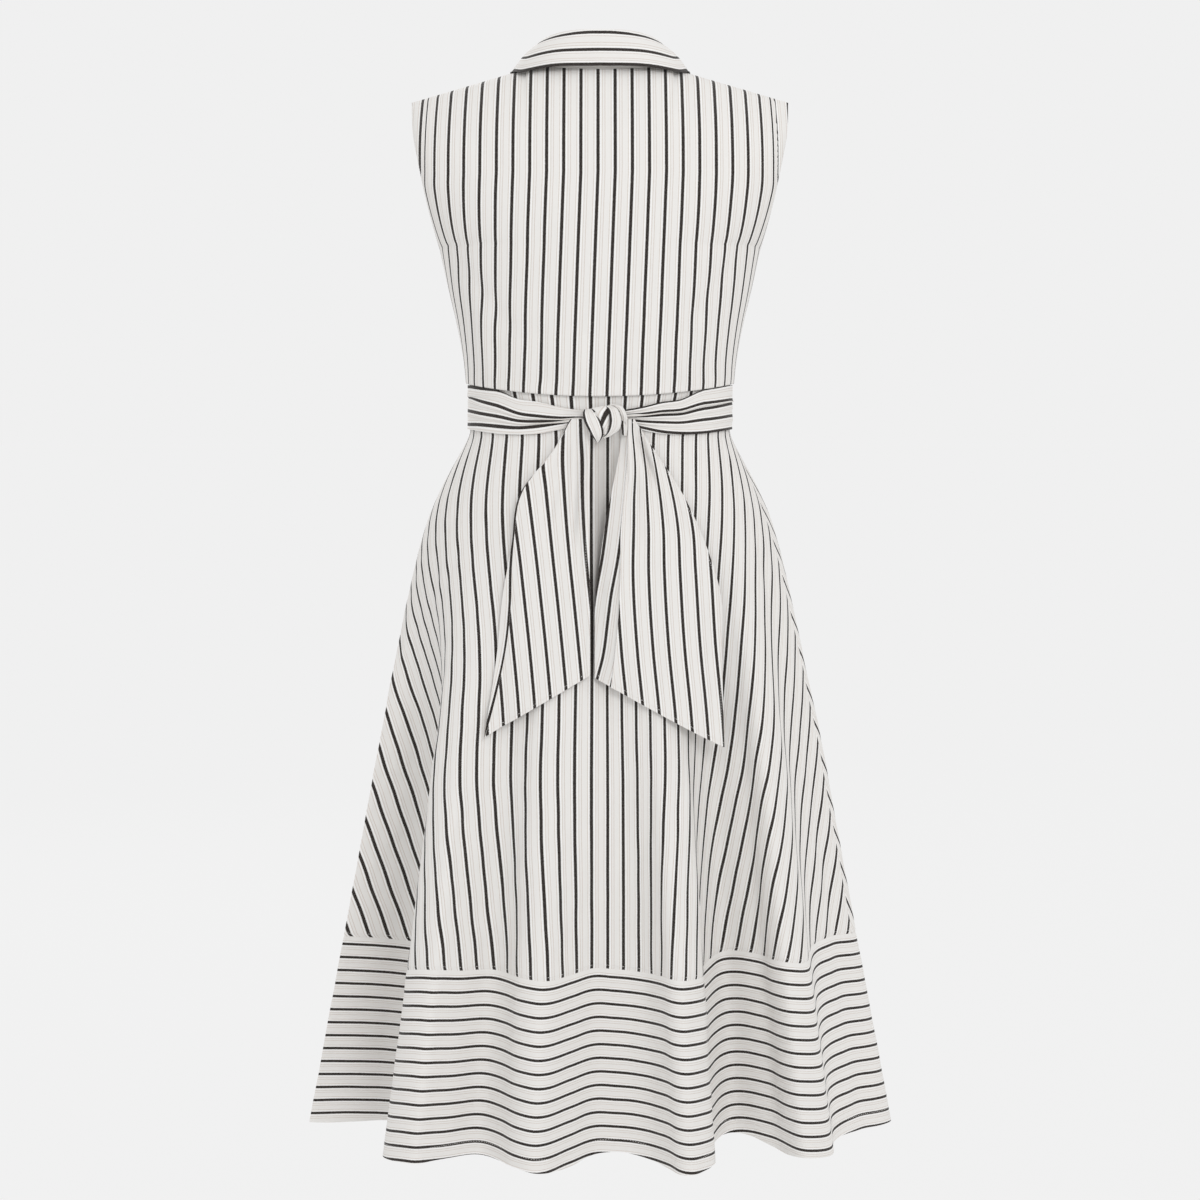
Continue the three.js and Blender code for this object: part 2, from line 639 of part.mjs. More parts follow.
function placketSkirt() {
  const below = skirtRows.filter((z) => z < placket.skirtTopZ);
  const rows = [placket.skirtTopZ, ...below, bandTopZ, bandRows[0], bandRows[1] + placket.aboveHem];
  const columns = placketAcross.map((mm) => ({ station: 0.5, mm }));
  const outer = grid(rows, columns, (z, column) => skirtPoint(column, z, seamGap + cloth));
  const inner = grid(rows, columns, (z, column) => skirtPoint(column, z, seamGap));
  return named("front_placket_skirt", wall(outer, inner), colours.body);
}

// The sash goes round the skirt's waist on the skirt's own columns.
function sashBand() {
  const front = [...frontColumns(-1).slice(0, -1).reverse(), ...frontColumns(1).slice(0, -1)];
  const columns = [...backColumns.slice(1, -1), { station: 0.25 }, ...front, { station: 0.75 }];
  const heights = (column) => {
    const place = skirtPoint(column, waist.bottomZ);
    const above = bodiceBottomZ((place.x * shoulder.tipX) / waist.halfWidth, Math.sign(place.y));
    const from = place.y > 0 ? sashEdges[sashEdges.length - 1].x : Math.abs(place.x);
    const top = Math.min(above - sash.underLip, read(sashEdges, "topZ", "x", from));
    return [top, read(sashEdges, "bottomZ", "x", from)];
  };
  const point = (out) => (share, column) => {
    const [top, bottom] = heights(column);
    return skirtPoint(column, lerp(bottom, top, share), out);
  };
  const outer = grid([0, 1], columns, point(seamGap + sash.thickness));
  const inner = grid([0, 1], columns, point(seamGap));
  return named("sash", wall(outer, inner, true), colours.sash);
}

// The half knot: pleated rings from its left to its right end, closed by a point at each end.
function sashKnot() {
  const rings = 10;
  const sides = 20;
  const back = -(waist.back + seamGap + sash.thickness + seamGap + knot.halfDepth);
  const end = (hand) =>
    new THREE.Vector3(knot.x + hand * knot.halfWidth, back, knot.z + hand * knot.tilt * knot.halfWidth);
  const positions = [end(-1)];
  for (let i = 1; i < rings; i++) {
    const angle = (Math.PI * i) / rings;
    const along = -Math.cos(angle) * knot.halfWidth;
    const reach = Math.sin(angle) ** 0.75;
    for (let k = 0; k < sides; k++) {
      const turn = (2 * Math.PI * k) / sides;
      const pleat = 1 - knotPleats.depth * (0.5 + 0.5 * Math.cos(knotPleats.count * turn));
      const y = back - knot.halfDepth * reach * pleat * Math.cos(turn);
      const z = knot.z + knot.tilt * along + knot.halfHeight * reach * pleat * Math.sin(turn);
      positions.push(new THREE.Vector3(knot.x + along, y, z));
    }
  }
  positions.push(end(1));
  const at = (i, k) => 1 + i * sides + (k % sides);
  const faces = [];
  for (let k = 0; k < sides; k++) {
    faces.push(0, at(0, k), at(0, k + 1));
    faces.push(positions.length - 1, at(rings - 2, k + 1), at(rings - 2, k));
    for (let i = 0; i < rings - 2; i++) {
      faces.push(at(i, k), at(i + 1, k), at(i + 1, k + 1));
      faces.push(at(i, k), at(i + 1, k + 1), at(i, k + 1));
    }
  }
  return named("sash_knot", facingOut(positions, faces), colours.sash);
}

// How far back the skirt reaches at a place, bridging its troughs as hanging cloth does.
function skirtReach(x, z) {
  const samples = 260;
  let reach = 0;
  for (let i = 0; i <= samples; i++) {
    const point = skirtRing(lerp(-0.2, 0.2, i / samples), z);
    const apart = point.x - x;
    reach = Math.max(reach, -point.y - (apart * apart) / (2 * tail.drape));
  }
  return reach;
}

function sashTail(name, table, corners) {
  const shares = [];
  for (let i = 0; i <= panelColumns.tail; i++) shares.push(i / panelColumns.tail);
  const lowest = tailRows[tailRows.length - 1];
  const rows = [
    () => tail.topZ,
    ...tailRows.map((z) => () => z),
    ...tailEndShares.map((part) => (share) => lerp(lowest, lerp(corners[0], corners[1], share), part)),
  ];
  const point = (out) => (row, share) => {
    const z = row(share);
    const x = lerp(read(table, "x0", "z", z), read(table, "x1", "z", z), share);
    const grown = clamp((tail.topZ - z) / 100, 0, 1);
    const ripple = tail.ripple * grown * (0.5 - 0.5 * Math.cos(2 * Math.PI * tail.ripples * share));
    return new THREE.Vector3(x, -(skirtReach(x, z) + read(table, "off", "z", z) + ripple + out), z);
  };
  return named(name, wall(grid(rows, shares, point(doubled)), grid(rows, shares, point(0))), colours.sash);
}

// A button lies on a point, its flat back just off it and its axis along the normal.
function buttonOn(name, point, normal) {
  const geometry = new THREE.CylinderGeometry(button.radius, button.radius, button.thickness, button.sides);
  const mesh = named(name, geometry, colours.button);
  mesh.material.roughness = 0.35;
  mesh.quaternion.setFromUnitVectors(new THREE.Vector3(0, 1, 0), normal);
  mesh.position.copy(point).addScaledVector(normal, button.stand + button.thickness / 2);
  return mesh;
}

function buttons() {
  const standColumn = { x: 0, side: 1, lap: doubled + seamGap };
  const foot = standPoint(standColumn, 0);
  const head = standPoint(standColumn, 1);
  const standNormal = new THREE.Vector3(-1, 0, 0).cross(head.clone().sub(foot)).normalize();
  const places = [[foot.lerp(head, 0.5), standNormal]];
  const middle = { x: 0, fixed: true };
  for (const z of buttonsAt.bodice) {
    const row = (z - bodiceHem.sideZ) / (bodiceTopZ(0, 1) - bodiceHem.sideZ);
    places.push([bodiceAt(middle, row, 1, seamGap + cloth), bodiceNormal(middle, row, 1)]);
  }
  for (const z of buttonsAt.skirt) {
    const across = skirtPoint({ station: 0.5, mm: 1 }, z).sub(skirtPoint({ station: 0.5, mm: -1 }, z));
    const up = skirtPoint({ station: 0.5 }, z + 5).sub(skirtPoint({ station: 0.5 }, z - 5));
    places.push([skirtPoint({ station: 0.5 }, z, seamGap + cloth), across.cross(up).normalize()]);
  }
  const label = (i) => String(i + 1).padStart(2, "0");
  return places.map(([point, normal], i) => buttonOn(`button_${label(i)}`, point, normal));
}

const dress = new THREE.Group();
dress.add(backBodice(), frontBodice("front_bodice_right", 1), frontBodice("front_bodice_left", -1));
dress.add(...skirtPanels());
dress.add(collarStand(), collarLeaf(), placketBodice(), placketSkirt());
dress.add(sashBand(), sashKnot());
dress.add(sashTail("sash_tail_left", leftTail, tailEnds.left));
dress.add(sashTail("sash_tail_right", rightTail, tailEnds.right));
dress.add(...buttons());

export default dress;
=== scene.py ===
import math

import bpy
import numpy as np
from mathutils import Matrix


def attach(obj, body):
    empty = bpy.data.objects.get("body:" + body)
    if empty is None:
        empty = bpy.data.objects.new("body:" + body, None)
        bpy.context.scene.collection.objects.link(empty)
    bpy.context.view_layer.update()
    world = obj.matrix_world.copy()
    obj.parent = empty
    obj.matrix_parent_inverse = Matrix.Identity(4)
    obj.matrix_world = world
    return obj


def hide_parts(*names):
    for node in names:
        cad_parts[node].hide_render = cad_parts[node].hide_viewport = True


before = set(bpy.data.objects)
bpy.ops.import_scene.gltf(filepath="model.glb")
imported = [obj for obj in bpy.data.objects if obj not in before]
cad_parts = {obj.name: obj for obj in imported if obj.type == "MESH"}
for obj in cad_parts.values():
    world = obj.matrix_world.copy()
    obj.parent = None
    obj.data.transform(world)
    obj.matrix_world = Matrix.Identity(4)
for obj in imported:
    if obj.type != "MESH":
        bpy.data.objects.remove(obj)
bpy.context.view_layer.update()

# Metres, +Z up, +Y the way the wearer faces. The photographed back of the dress faces -Y.
stripePitch = 0.0164  # one repeat of the stripes on the cloth
seamGap = 0.0003
clothThick = 0.0006
bulge = 2.3  # exponent of the body's rounded sections


# Camera at the photograph's angle, soft lights, pale floor

camera = {"away": 2.5, "z": -0.3225, "pitchDown": 4.51, "halfFrame": 0.6}
lights = [
    {"name": "keyBehind", "at": (1.1, -3.1, 1.0), "size": 1.1, "power": 28.0},
    {"name": "fillLeft", "at": (-2.9, -1.6, 0.2), "size": 2.0, "power": 3.0},
    {"name": "topSoft", "at": (0.2, 0.6, 2.6), "size": 2.2, "power": 4.0},
    {"name": "keyFront", "at": (-1.3, 3.2, 0.9), "size": 1.3, "power": 34.0},
]
backdrop = {"grey": 0.871, "strength": 1.0, "floorZ": -1.36, "halfFloor": 60.0}


def makeCamera():
    data = bpy.data.cameras.new("camera")
    data.sensor_fit = "HORIZONTAL"
    data.angle = 2 * math.atan(camera["halfFrame"] / camera["away"])
    eye = bpy.data.objects.new("camera", data)
    eye.location = (0, -camera["away"], camera["z"])
    eye.rotation_euler = (math.radians(90 - camera["pitchDown"]), 0, 0)
    bpy.context.scene.collection.objects.link(eye)
    bpy.context.scene.camera = eye


def makeLights():
    for light in lights:
        data = bpy.data.lights.new(light["name"], "AREA")
        data.size = light["size"]
        data.energy = light["power"]
        lamp = bpy.data.objects.new(light["name"], data)
        lamp.location = light["at"]
        toMiddle = np.array((0, 0, -0.5)) - np.array(light["at"])
        turn = math.atan2(toMiddle[1], toMiddle[0])
        tilt = math.atan2(math.hypot(toMiddle[0], toMiddle[1]), -toMiddle[2])
        lamp.rotation_euler = (tilt, 0, turn - math.pi / 2)
        bpy.context.scene.collection.objects.link(lamp)
    world = bpy.data.worlds.new("studio")
    world.use_nodes = True
    sky = world.node_tree.nodes["Background"]
    sky.inputs["Color"].default_value = (backdrop["grey"],) * 3 + (1,)
    sky.inputs["Strength"].default_value = backdrop["strength"]
    bpy.context.scene.world = world
    bpy.context.scene.view_settings.view_transform = "Standard"


print("camera and lights")
makeCamera()
makeLights()


# Curves and tables


def smoothStep(x, low, high):
    t = np.clip((x - low) / (high - low), 0, 1)
    return t * t * (3 - 2 * t)


def lerp(a, b, t):
    return a + (b - a) * t


# Smooth curve through keyed values: cubics whose slope at a key is the mean of the slopes beside it,
# each weighted by the other one's step. With a period the curve goes round.
def smoothCurve(keys, values, at, period=0.0):
    keys, values = np.asarray(keys, float), np.asarray(values, float)
    if period:
        keys = np.concatenate([keys[-2:] - period, keys, keys[:3] + period])
        values = np.concatenate([values[-2:], values, values[:3]])
    step = np.diff(keys)
    slope = np.diff(values) / step
    tangent = np.concatenate([slope[:1], slope, slope[-1:]])[: len(keys)]
    tangent[1:-1] = (slope[:-1] * step[1:] + slope[1:] * step[:-1]) / (step[1:] + step[:-1])
    tangent[-1] = slope[-1]
    i = np.clip(np.searchsorted(keys, at, side="right") - 1, 0, len(step) - 1)
    f = np.clip((at - keys[i]) / step[i], 0, 1)
    rise = f * f * (3 - 2 * f)
    leave = f * (1 - f) ** 2 * step[i] * tangent[i]
    arrive = f * f * (f - 1) * step[i] * tangent[i + 1]
    return lerp(values[i], values[i + 1], rise) + leave + arrive


# A table's column as a smooth function of its first column.
def tableValue(table, name, at):
    key = next(iter(table))
    order = np.argsort(table[key])
    return smoothCurve(np.array(table[key])[order], np.array(table[name])[order], at)


# A closed plan curve through points, with seams at a quarter, a half and three quarters of its stations.
def stationedCurve(points, seams):
    points = np.array(points)
    keys = np.concatenate([[0], np.cumsum(np.hypot(*np.diff(points, axis=0).T))])
    period = keys[-1] + np.hypot(*(points[0] - points[-1]))
    at = np.linspace(0, period, 8001)
    line = np.stack([smoothCurve(keys, points[:, k], at, period) for k in (0, 1)], axis=1)
    run = np.concatenate([[0], np.cumsum(np.hypot(*np.diff(line, axis=0).T))])
    marks = [run[np.argmin(np.hypot(*(line - seam).T))] for seam in seams]
    marks = [0, *marks, run[-1]]

    def place(station):
        along = np.interp(np.mod(station, 1), [0, 0.25, 0.5, 0.75, 1], marks)
        return np.stack([np.interp(along, run, line[:, k]) for k in (0, 1)], axis=-1)

    return place


# A rounded oval, superellipse of a power, from the centre back round by the wearer's right.
def ovalCurve(size, power, rightY, leftY):
    angle = np.arange(96) * 2 * np.pi / 96
    depth = np.where(np.cos(angle) > 0, size["back"], size["front"])
    across = np.sign(np.sin(angle)) * np.abs(np.sin(angle)) ** (2 / power)
    along = np.sign(np.cos(angle)) * np.abs(np.cos(angle)) ** (2 / power)
    points = np.stack([size["halfWidth"] * across, -depth * along], axis=1)

    def widthAt(y):
        share = abs(y) / (size["back"] if y < 0 else size["front"])
        return size["halfWidth"] * (1 - share**power) ** (1 / power)

    seams = [(widthAt(rightY), rightY), (0, size["front"]), (-widthAt(leftY), leftY)]
    return stationedCurve(points, seams)


# Meshes


def unit(vectors):
    return vectors / np.maximum(np.linalg.norm(vectors, axis=-1, keepdims=True), 1e-12)


# Normals of a grid of points: down the rows, crossed with along the columns. A closed grid goes round.
def gridNormals(grid, closed=False):
    padded = np.concatenate([grid[:, -1:], grid, grid[:, :1]], axis=1) if closed else grid
    along = np.gradient(padded, axis=1)
    along = along[:, 1:-1] if closed else along
    return unit(np.cross(np.gradient(grid, axis=0), along))


def runAlong(grid, axis):
    steps = np.linalg.norm(np.diff(grid, axis=axis), axis=-1)
    pad = [(0, 0), (0, 0)]
    pad[axis] = (1, 0)
    return np.pad(np.cumsum(steps, axis=axis), pad)


def gridFaces(rows, columns, closed=False):
    index = np.arange(rows * columns).reshape(rows, columns)
    if closed:
        index = np.concatenate([index, index[:, :1]], axis=1)
    corners = [index[:-1, :-1], index[:-1, 1:], index[1:, 1:], index[1:, :-1]]
    return np.stack(corners, axis=-1).reshape(-1, 4)


def signedVolume(points, faces):
    a, b, c, d = (points[faces[:, k]] for k in range(4))
    return (a * np.cross(b, c)).sum() + (a * np.cross(c, d)).sum()


# A mesh object of closed quads, its faces turned outwards, with flat = (stripe repeats, metres along).
def addPiece(name, points, faces, flat, material, slotName, stands=(), sharp=50):
    if signedVolume(points - points.mean(axis=0), faces) < 0:
        faces = faces[:, ::-1]
    mesh = bpy.data.meshes.new(name)
    mesh.from_pydata(points.tolist(), [], faces.tolist())
    corners = np.empty(len(mesh.loops), np.int32)
    mesh.loops.foreach_get("vertex_index", corners)
    mesh.uv_layers.new(name="flat").data.foreach_set("uv", flat[corners].astype(np.float32).ravel())
    mesh.polygons.foreach_set("use_smooth", np.ones(len(mesh.polygons), bool))
    mesh.set_sharp_from_angle(angle=math.radians(sharp))
    mesh.materials.append(material)
    piece = bpy.data.objects.new(name, mesh)
    bpy.context.scene.collection.objects.link(piece)
    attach(piece, "root")
    if stands:
        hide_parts(*stands)


# A sheet of cloth: the outer grid, the same grid moved in along its normals by the thickness, and rims.
def clothShell(outer, thick, closed=False, inward=-1):
    rows, columns = outer.shape[:2]
    thick = np.broadcast_to(np.asarray(thick, float), (rows, columns))
    inner = outer + inward * gridNormals(outer, closed) * thick[..., None]
    count = rows * columns
    top = gridFaces(rows, columns, closed)
    bottom = top[:, ::-1] + count
    index = np.arange(count).reshape(rows, columns)
    if closed:
        first, last = index[0], index[-1][::-1]
        rims = [(first, np.roll(first, -1)), (last, np.roll(last, -1))]
    else:
        loop = np.concatenate([index[0, :-1], index[:-1, -1], index[-1, :0:-1], index[:0:-1, 0]])
        rims = [(loop, np.roll(loop, -1))]
    sides = [np.stack([a + count, b + count, b, a], axis=-1) for a, b in rims]
    points = np.concatenate([outer.reshape(-1, 3), inner.reshape(-1, 3)])
    return points, np.concatenate([top, bottom, *sides])


def clothPiece(name, outer, flat, thick=clothThick, closed=False, stands=(), inward=-1):
    points, faces = clothShell(outer, thick, closed, inward)
    flat = np.tile(flat.reshape(-1, 2), (2, 1))
    addPiece(name, points, faces, flat, cotton, "striped_cotton", stands)


# Soft troughs and ridges: along each line a bell of the given width and depth, which fades at both ends.
def creases(across, down, lines):
    total = np.zeros(np.broadcast(across, down).shape)
    for x0, z0, x1, z1, width, depth in lines:
        length = math.hypot(x1 - x0, z1 - z0)
        t = ((across - x0) * (x1 - x0) + (down - z0) * (z1 - z0)) / length**2
        off = ((across - x0) * (z1 - z0) - (down - z0) * (x1 - x0)) / length
        fade = smoothStep(t, 0, 0.3) * (1 - smoothStep(t, 0.65, 1))
        total += depth * np.exp(-((off / width) ** 2)) * fade
    return total


# The slight unevenness of worn cotton: a few crossing waves of 2 to 9 cm, the same on each run.
def unevenness(across, down, height, seed):
    rng = np.random.default_rng(seed)
    total = 0
    draws = [rng.uniform(low, high, 9) for low, high in ((-0.9, 0.9), (0.02, 0.09), (0, 6.3))]
    for turn, wave, phase in zip(*draws):
        total = total + np.sin((across * math.cos(turn) + down * math.sin(turn)) * 2 * np.pi / wave + phase)
    return height * total / 3


# Sewing thread: each stitch a slim eight-sided grain on the cloth, its ends sunk in.
thread = {"pitch": 0.0027, "length": 0.0021, "halfWidth": 0.00028, "lift": 0.00012}


def resample(values, run, at):
    return np.stack([np.interp(at, run, values[:, k]) for k in range(3)], axis=-1)


def stitches(name, rows, pitch=thread["pitch"], length=thread["length"]):
    points, faces = [], []
    for line, normal in rows:
        run = np.concatenate([[0], np.cumsum(np.linalg.norm(np.diff(line, axis=0), axis=1))])
        middle = np.arange(pitch / 2, run[-1] - pitch / 2, pitch)
        start, end = (resample(line, run, middle + k * length / 2) for k in (-1, 1))
        out = unit(resample(normal, run, middle))
        across = unit(np.cross(out, end - start)) * thread["halfWidth"]
        up = out * thread["halfWidth"]
        centre = (start + end) / 2 + out * thread["lift"]
        grain = np.stack([start, centre + across, centre + up, centre - across, centre - up, end], axis=1)
        first = 6 * np.arange(len(middle)) + sum(map(len, points))
        near, far = [1, 2, 3, 4], [2, 3, 4, 1]
        pattern = np.array([[0, a, b] for a, b in zip(near, far)] + [[5, b, a] for a, b in zip(near, far)])
        points.append(grain.reshape(-1, 3))
        faces.append((first[:, None, None] + pattern).reshape(-1, 3))
    points, faces = np.concatenate(points), np.concatenate(faces)
    quads = np.concatenate([faces, faces[:, :1]], axis=1)
    if signedVolume(points - points.mean(axis=0), quads) < 0:
        faces = faces[:, ::-1]
    mesh = bpy.data.meshes.new(name)
    mesh.from_pydata(points.tolist(), [], faces.tolist())
    mesh.materials.append(sewingThread)
    piece = bpy.data.objects.new(name, mesh)
    bpy.context.scene.collection.objects.link(piece)
    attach(piece, "root")


# The line on a grid at a distance from one of its sides, with the normals there.
def insetLine(grid, normals, side, distance):
    if side in ("left", "right"):
        grid, normals = grid.swapaxes(0, 1), normals.swapaxes(0, 1)
    if side in ("right", "bottom"):
        grid, normals = grid[::-1], normals[::-1]
    run = runAlong(grid, 0)
    at = np.clip((run < distance).sum(axis=0) - 1, 0, len(grid) - 2)
    column = np.arange(grid.shape[1])
    before, after = run[at, column], run[at + 1, column]
    share = np.clip((distance - before) / np.maximum(after - before, 1e-9), 0, 1)[:, None]
    return [lerp(values[at, column], values[at + 1, column], share) for values in (grid, normals)]


# Shader maths


# One socket of a node tree. Sums of wires and numbers add Math nodes; node() adds any other kind.
class Wire:
    def __init__(self, tree, socket=None):
        self.tree = tree
        self.socket = socket

    def node(self, kind, settings, values, output=0):
        made = self.tree.nodes.new(kind)
        for name, value in settings.items():
            if name == "stops":
                ramp = made.color_ramp
                for place, colour in value[2:]:
                    ramp.elements.new(place).color = (*colour, 1)
                for stop, (place, colour) in zip((ramp.elements[0], ramp.elements[-1]), value[:2]):
                    stop.position, stop.color = place, (*colour, 1)
            else:
                setattr(made, name, value)
        for name, value in values.items():
            if isinstance(value, Wire):
                self.tree.links.new(value.socket, made.inputs[name])
            else:
                made.inputs[name].default_value = value
        return Wire(self.tree, made.outputs[output] if len(made.outputs) else None)

    def maths(self, operation, *ends):
        return self.node("ShaderNodeMath", {"operation": operation}, dict(enumerate(ends)))

    def __add__(self, other):
        return self.maths("ADD", self, other)

    def __sub__(self, other):
        return self.maths("SUBTRACT", self, other)

    def __rsub__(self, other):
        return self.maths("SUBTRACT", other, self)

    def __mul__(self, other):
        return self.maths("MULTIPLY", self, other)

    __radd__ = __add__
    __rmul__ = __mul__


def linear(red, green, blue):
    values = np.array((red, green, blue)) / 255
    return tuple(np.where(values <= 0.04045, values / 12.92, ((values + 0.055) / 1.055) ** 2.4).tolist())


cloth = {
    "base": linear(227, 225, 222),
    "cord": linear(238, 237, 236),
    "beige": linear(209, 200, 193),
    "black": linear(40, 34, 31),
    "fleck": linear(132, 128, 125),
    "roughness": 0.86,
    "yarn": 0.00052,
}

# One repeat, as shares of the pitch from the middle of a black stripe: where each colour starts.
repeat = [
    (0.0, "black"), (0.094, "base"), (0.135, "cord"), (0.19, "base"), (0.235, "beige"), (0.272, "base"),
    (0.385, "beige"), (0.425, "base"), (0.745, "beige"), (0.785, "base"), (0.815, "cord"), (0.87, "base"),
    (0.906, "black"), (1.0, "black"),
]


# Yarn-dyed cotton: a ramp over the stripe repeat, its edges frayed by noise, black stripes flecked with
# pale thread, slubs along the yarn, and a fine weave in the bump.
def stripedCotton():
    material = bpy.data.materials.new("stripedCotton")
    material.use_nodes = True
    tree = material.node_tree
    tree.nodes.clear()
    start = Wire(tree)
    flat = start.node("ShaderNodeUVMap", {"uv_map": "flat"}, {})
    across = start.node("ShaderNodeSeparateXYZ", {}, {0: flat}, "X")
    along = start.node("ShaderNodeSeparateXYZ", {}, {0: flat}, "Y")

    def noise(acrossScale, alongScale, detail):
        place = start.node("ShaderNodeCombineXYZ", {}, {0: across * acrossScale, 1: along * alongScale})
        return start.node("ShaderNodeTexNoise", {}, {"Vector": place, "Scale": 1.0, "Detail": detail})

    fray = noise(9.0, 1500.0, 1.0)
    frayed = across + (fray - 0.5) * 0.05
    share = frayed.maths("FRACT", frayed)
    stops = [(place, cloth[name]) for place, name in repeat]
    ramp = {"stops": [stops[0], stops[-1], *stops[1:-1]]}
    colour = start.node("ShaderNodeValToRGB", ramp, {0: share})
    colour.socket.node.color_ramp.interpolation = "CONSTANT"
    fromBlack = (share - 0.5).maths("ABSOLUTE", share - 0.5)
    inBlack = fromBlack.maths("GREATER_THAN", fromBlack, 0.406)
    heather = noise(60.0, 700.0, 2.0)
    flecks = heather.maths("MULTIPLY", heather.maths("GREATER_THAN", heather, 0.60), inBlack * 0.42)
    slub = noise(46.0, 16.0, 2.0)
    fine = noise(150.0, 60.0, 1.0)
    light = 0.90 + 0.12 * slub + 0.08 * fine
    fleck = {"Factor": flecks, 6: colour, 7: (*cloth["fleck"], 1)}
    colour = start.node("ShaderNodeMix", {"data_type": "RGBA"}, fleck, 2)
    grey = start.node("ShaderNodeCombineColor", {}, {0: light, 1: light, 2: light})
    mixing = {"data_type": "RGBA", "blend_type": "MULTIPLY", "clamp_result": True}
    colour = start.node("ShaderNodeMix", mixing, {"Factor": 1.0, 6: colour, 7: grey}, 2)
    weft = along.maths("SINE", along * (2 * math.pi / cloth["yarn"]))
    warp = across.maths("SINE", across * (2 * math.pi * round(stripePitch / cloth["yarn"])))
    height = weft * warp * 0.5 + slub * 1.2 + fine * 0.8
    bump = start.node("ShaderNodeBump", {}, {"Strength": 0.22, "Distance": 0.00025, "Height": height})
    finish = {
        "Base Color": colour, "Roughness": cloth["roughness"], "Normal": bump,
        "Specular IOR Level": 0.25, "Sheen Weight": 0.12, "Sheen Roughness": 0.5,
    }
    surface = start.node("ShaderNodeBsdfPrincipled", {}, finish)
    start.node("ShaderNodeOutputMaterial", {}, {"Surface": surface})
    return material


def plainMaterial(name, colour, roughness, spread=0.04, scale=300.0):
    material = bpy.data.materials.new(name)
    material.use_nodes = True
    tree = material.node_tree
    tree.nodes.clear()
    start = Wire(tree)
    place = start.node("ShaderNodeTexCoord", {}, {}, "Object")
    grain = {"Vector": place, "Scale": scale, "Detail": 2.0, "Distortion": 1.2}
    swirl = start.node("ShaderNodeTexNoise", {}, grain)
    dark = tuple(value * (1 - spread) for value in colour)
    shades = {"Factor": swirl, 6: (*colour, 1), 7: (*dark, 1)}
    tint = start.node("ShaderNodeMix", {"data_type": "RGBA"}, shades, 2)
    finish = {"Base Color": tint, "Roughness": swirl * 0.1 + roughness}
    surface = start.node("ShaderNodeBsdfPrincipled", {}, finish)
    start.node("ShaderNodeOutputMaterial", {}, {"Surface": surface})
    return material


print("materials")
cotton = stripedCotton()
sewingThread = plainMaterial("sewingThread", linear(226, 224, 221), 0.7, 0.1)
pearl = plainMaterial("pearlButton", linear(243, 241, 234), 0.18, 0.12)


# Floor


def makeFloor():
    material = bpy.data.materials.new("paleFloor")
    material.use_nodes = True
    shader = material.node_tree.nodes["Principled BSDF"]
    shader.inputs["Base Color"].default_value = (0.03, 0.03, 0.03, 1)
    shader.inputs["Roughness"].default_value = 1.0
    shader.inputs["Specular IOR Level"].default_value = 0.0
    shader.inputs["Emission Color"].default_value = (backdrop["grey"],) * 3 + (1,)
    shader.inputs["Emission Strength"].default_value = 0.97
    reach = backdrop["halfFloor"]
    corners = [(-reach, -reach), (reach, -reach), (reach, reach), (-reach, reach)]
    mesh = bpy.data.meshes.new("floor")
    mesh.from_pydata([(x, y, backdrop["floorZ"]) for x, y in corners], [], [(0, 1, 2, 3)])
    mesh.materials.append(material)
    floor = bpy.data.objects.new("floor", mesh)
    bpy.context.scene.collection.objects.link(floor)


makeFloor()


# Skirt

waist = {"halfWidth": 0.1292, "back": 0.094, "front": 0.092, "topZ": -0.300, "bottomZ": -0.352}
skirt = {"length": 0.695, "foldStart": 0.06, "foldFull": 0.5, "bandTopZ": -0.866, "hemZ": -1.047}
hip = {"share": 0.18, "reach": 0.1, "power": 1.4}
plainHem = {"halfWidth": 0.294, "back": 0.128, "front": 0.165}
seamDepths = {"waist": (-0.012, 0.012), "plain": (-0.055, 0.030), "hem": (-0.014, 0.014)}

# The hem seen from above: behind, from the centre back to the wearer's right side.
backRightHem = [
    (0, -0.110), (0.046, -0.116), (0.088, -0.160), (0.109, -0.134), (0.109, -0.092), (0.132, -0.058),
    (0.166, -0.080), (0.200, -0.117), (0.224, -0.098), (0.229, -0.060), (0.256, -0.036), (0.294, 0.006),
]
# In front: degrees round from the right side, and reach as a share of the plain hem.
frontFolds = [
    (16, 0.90), (30, 1.10), (43, 0.88), (56, 1.12), (68, 0.86), (80, 1.08), (90, 1.05),
    (101, 1.09), (113, 0.87), (124, 1.10), (138, 0.89), (151, 1.09), (165, 0.91),
]
# Behind again, from the left side with its deep fold to the centre back.
backLeftHem = [
    (-0.294, 0.004), (-0.246, 0.018), (-0.192, 0.020), (-0.166, -0.010), (-0.188, -0.062),
    (-0.209, -0.112), (-0.180, -0.152), (-0.118, -0.110), (-0.060, -0.161), (-0.028, -0.132),
]
# The cut: radius of the waist and its slant, and half the angle of each panel.
skirtCut = {"waistRadius": 0.412, "slant": 1.033, "halfAngle": 25.0, "pitch": 0.0158, "bandPitch": 0.0139}
skirtGrid = {"back": 280, "front": 124, "rows": 112, "bandRows": 34}
# Ease of the worn cloth over the plain form, by height.
ease = {
    "z": (-1.047, -0.90, -0.75, -0.60, -0.50, -0.40, -0.352),
    "grow": (0.008, 0.011, 0.015, 0.022, 0.026, 0.018, 0),
}
# The middle folds behind form lower down: where they are full, and how far round they reach.
lateFolds = {"full": 0.95, "reach": 0.085}
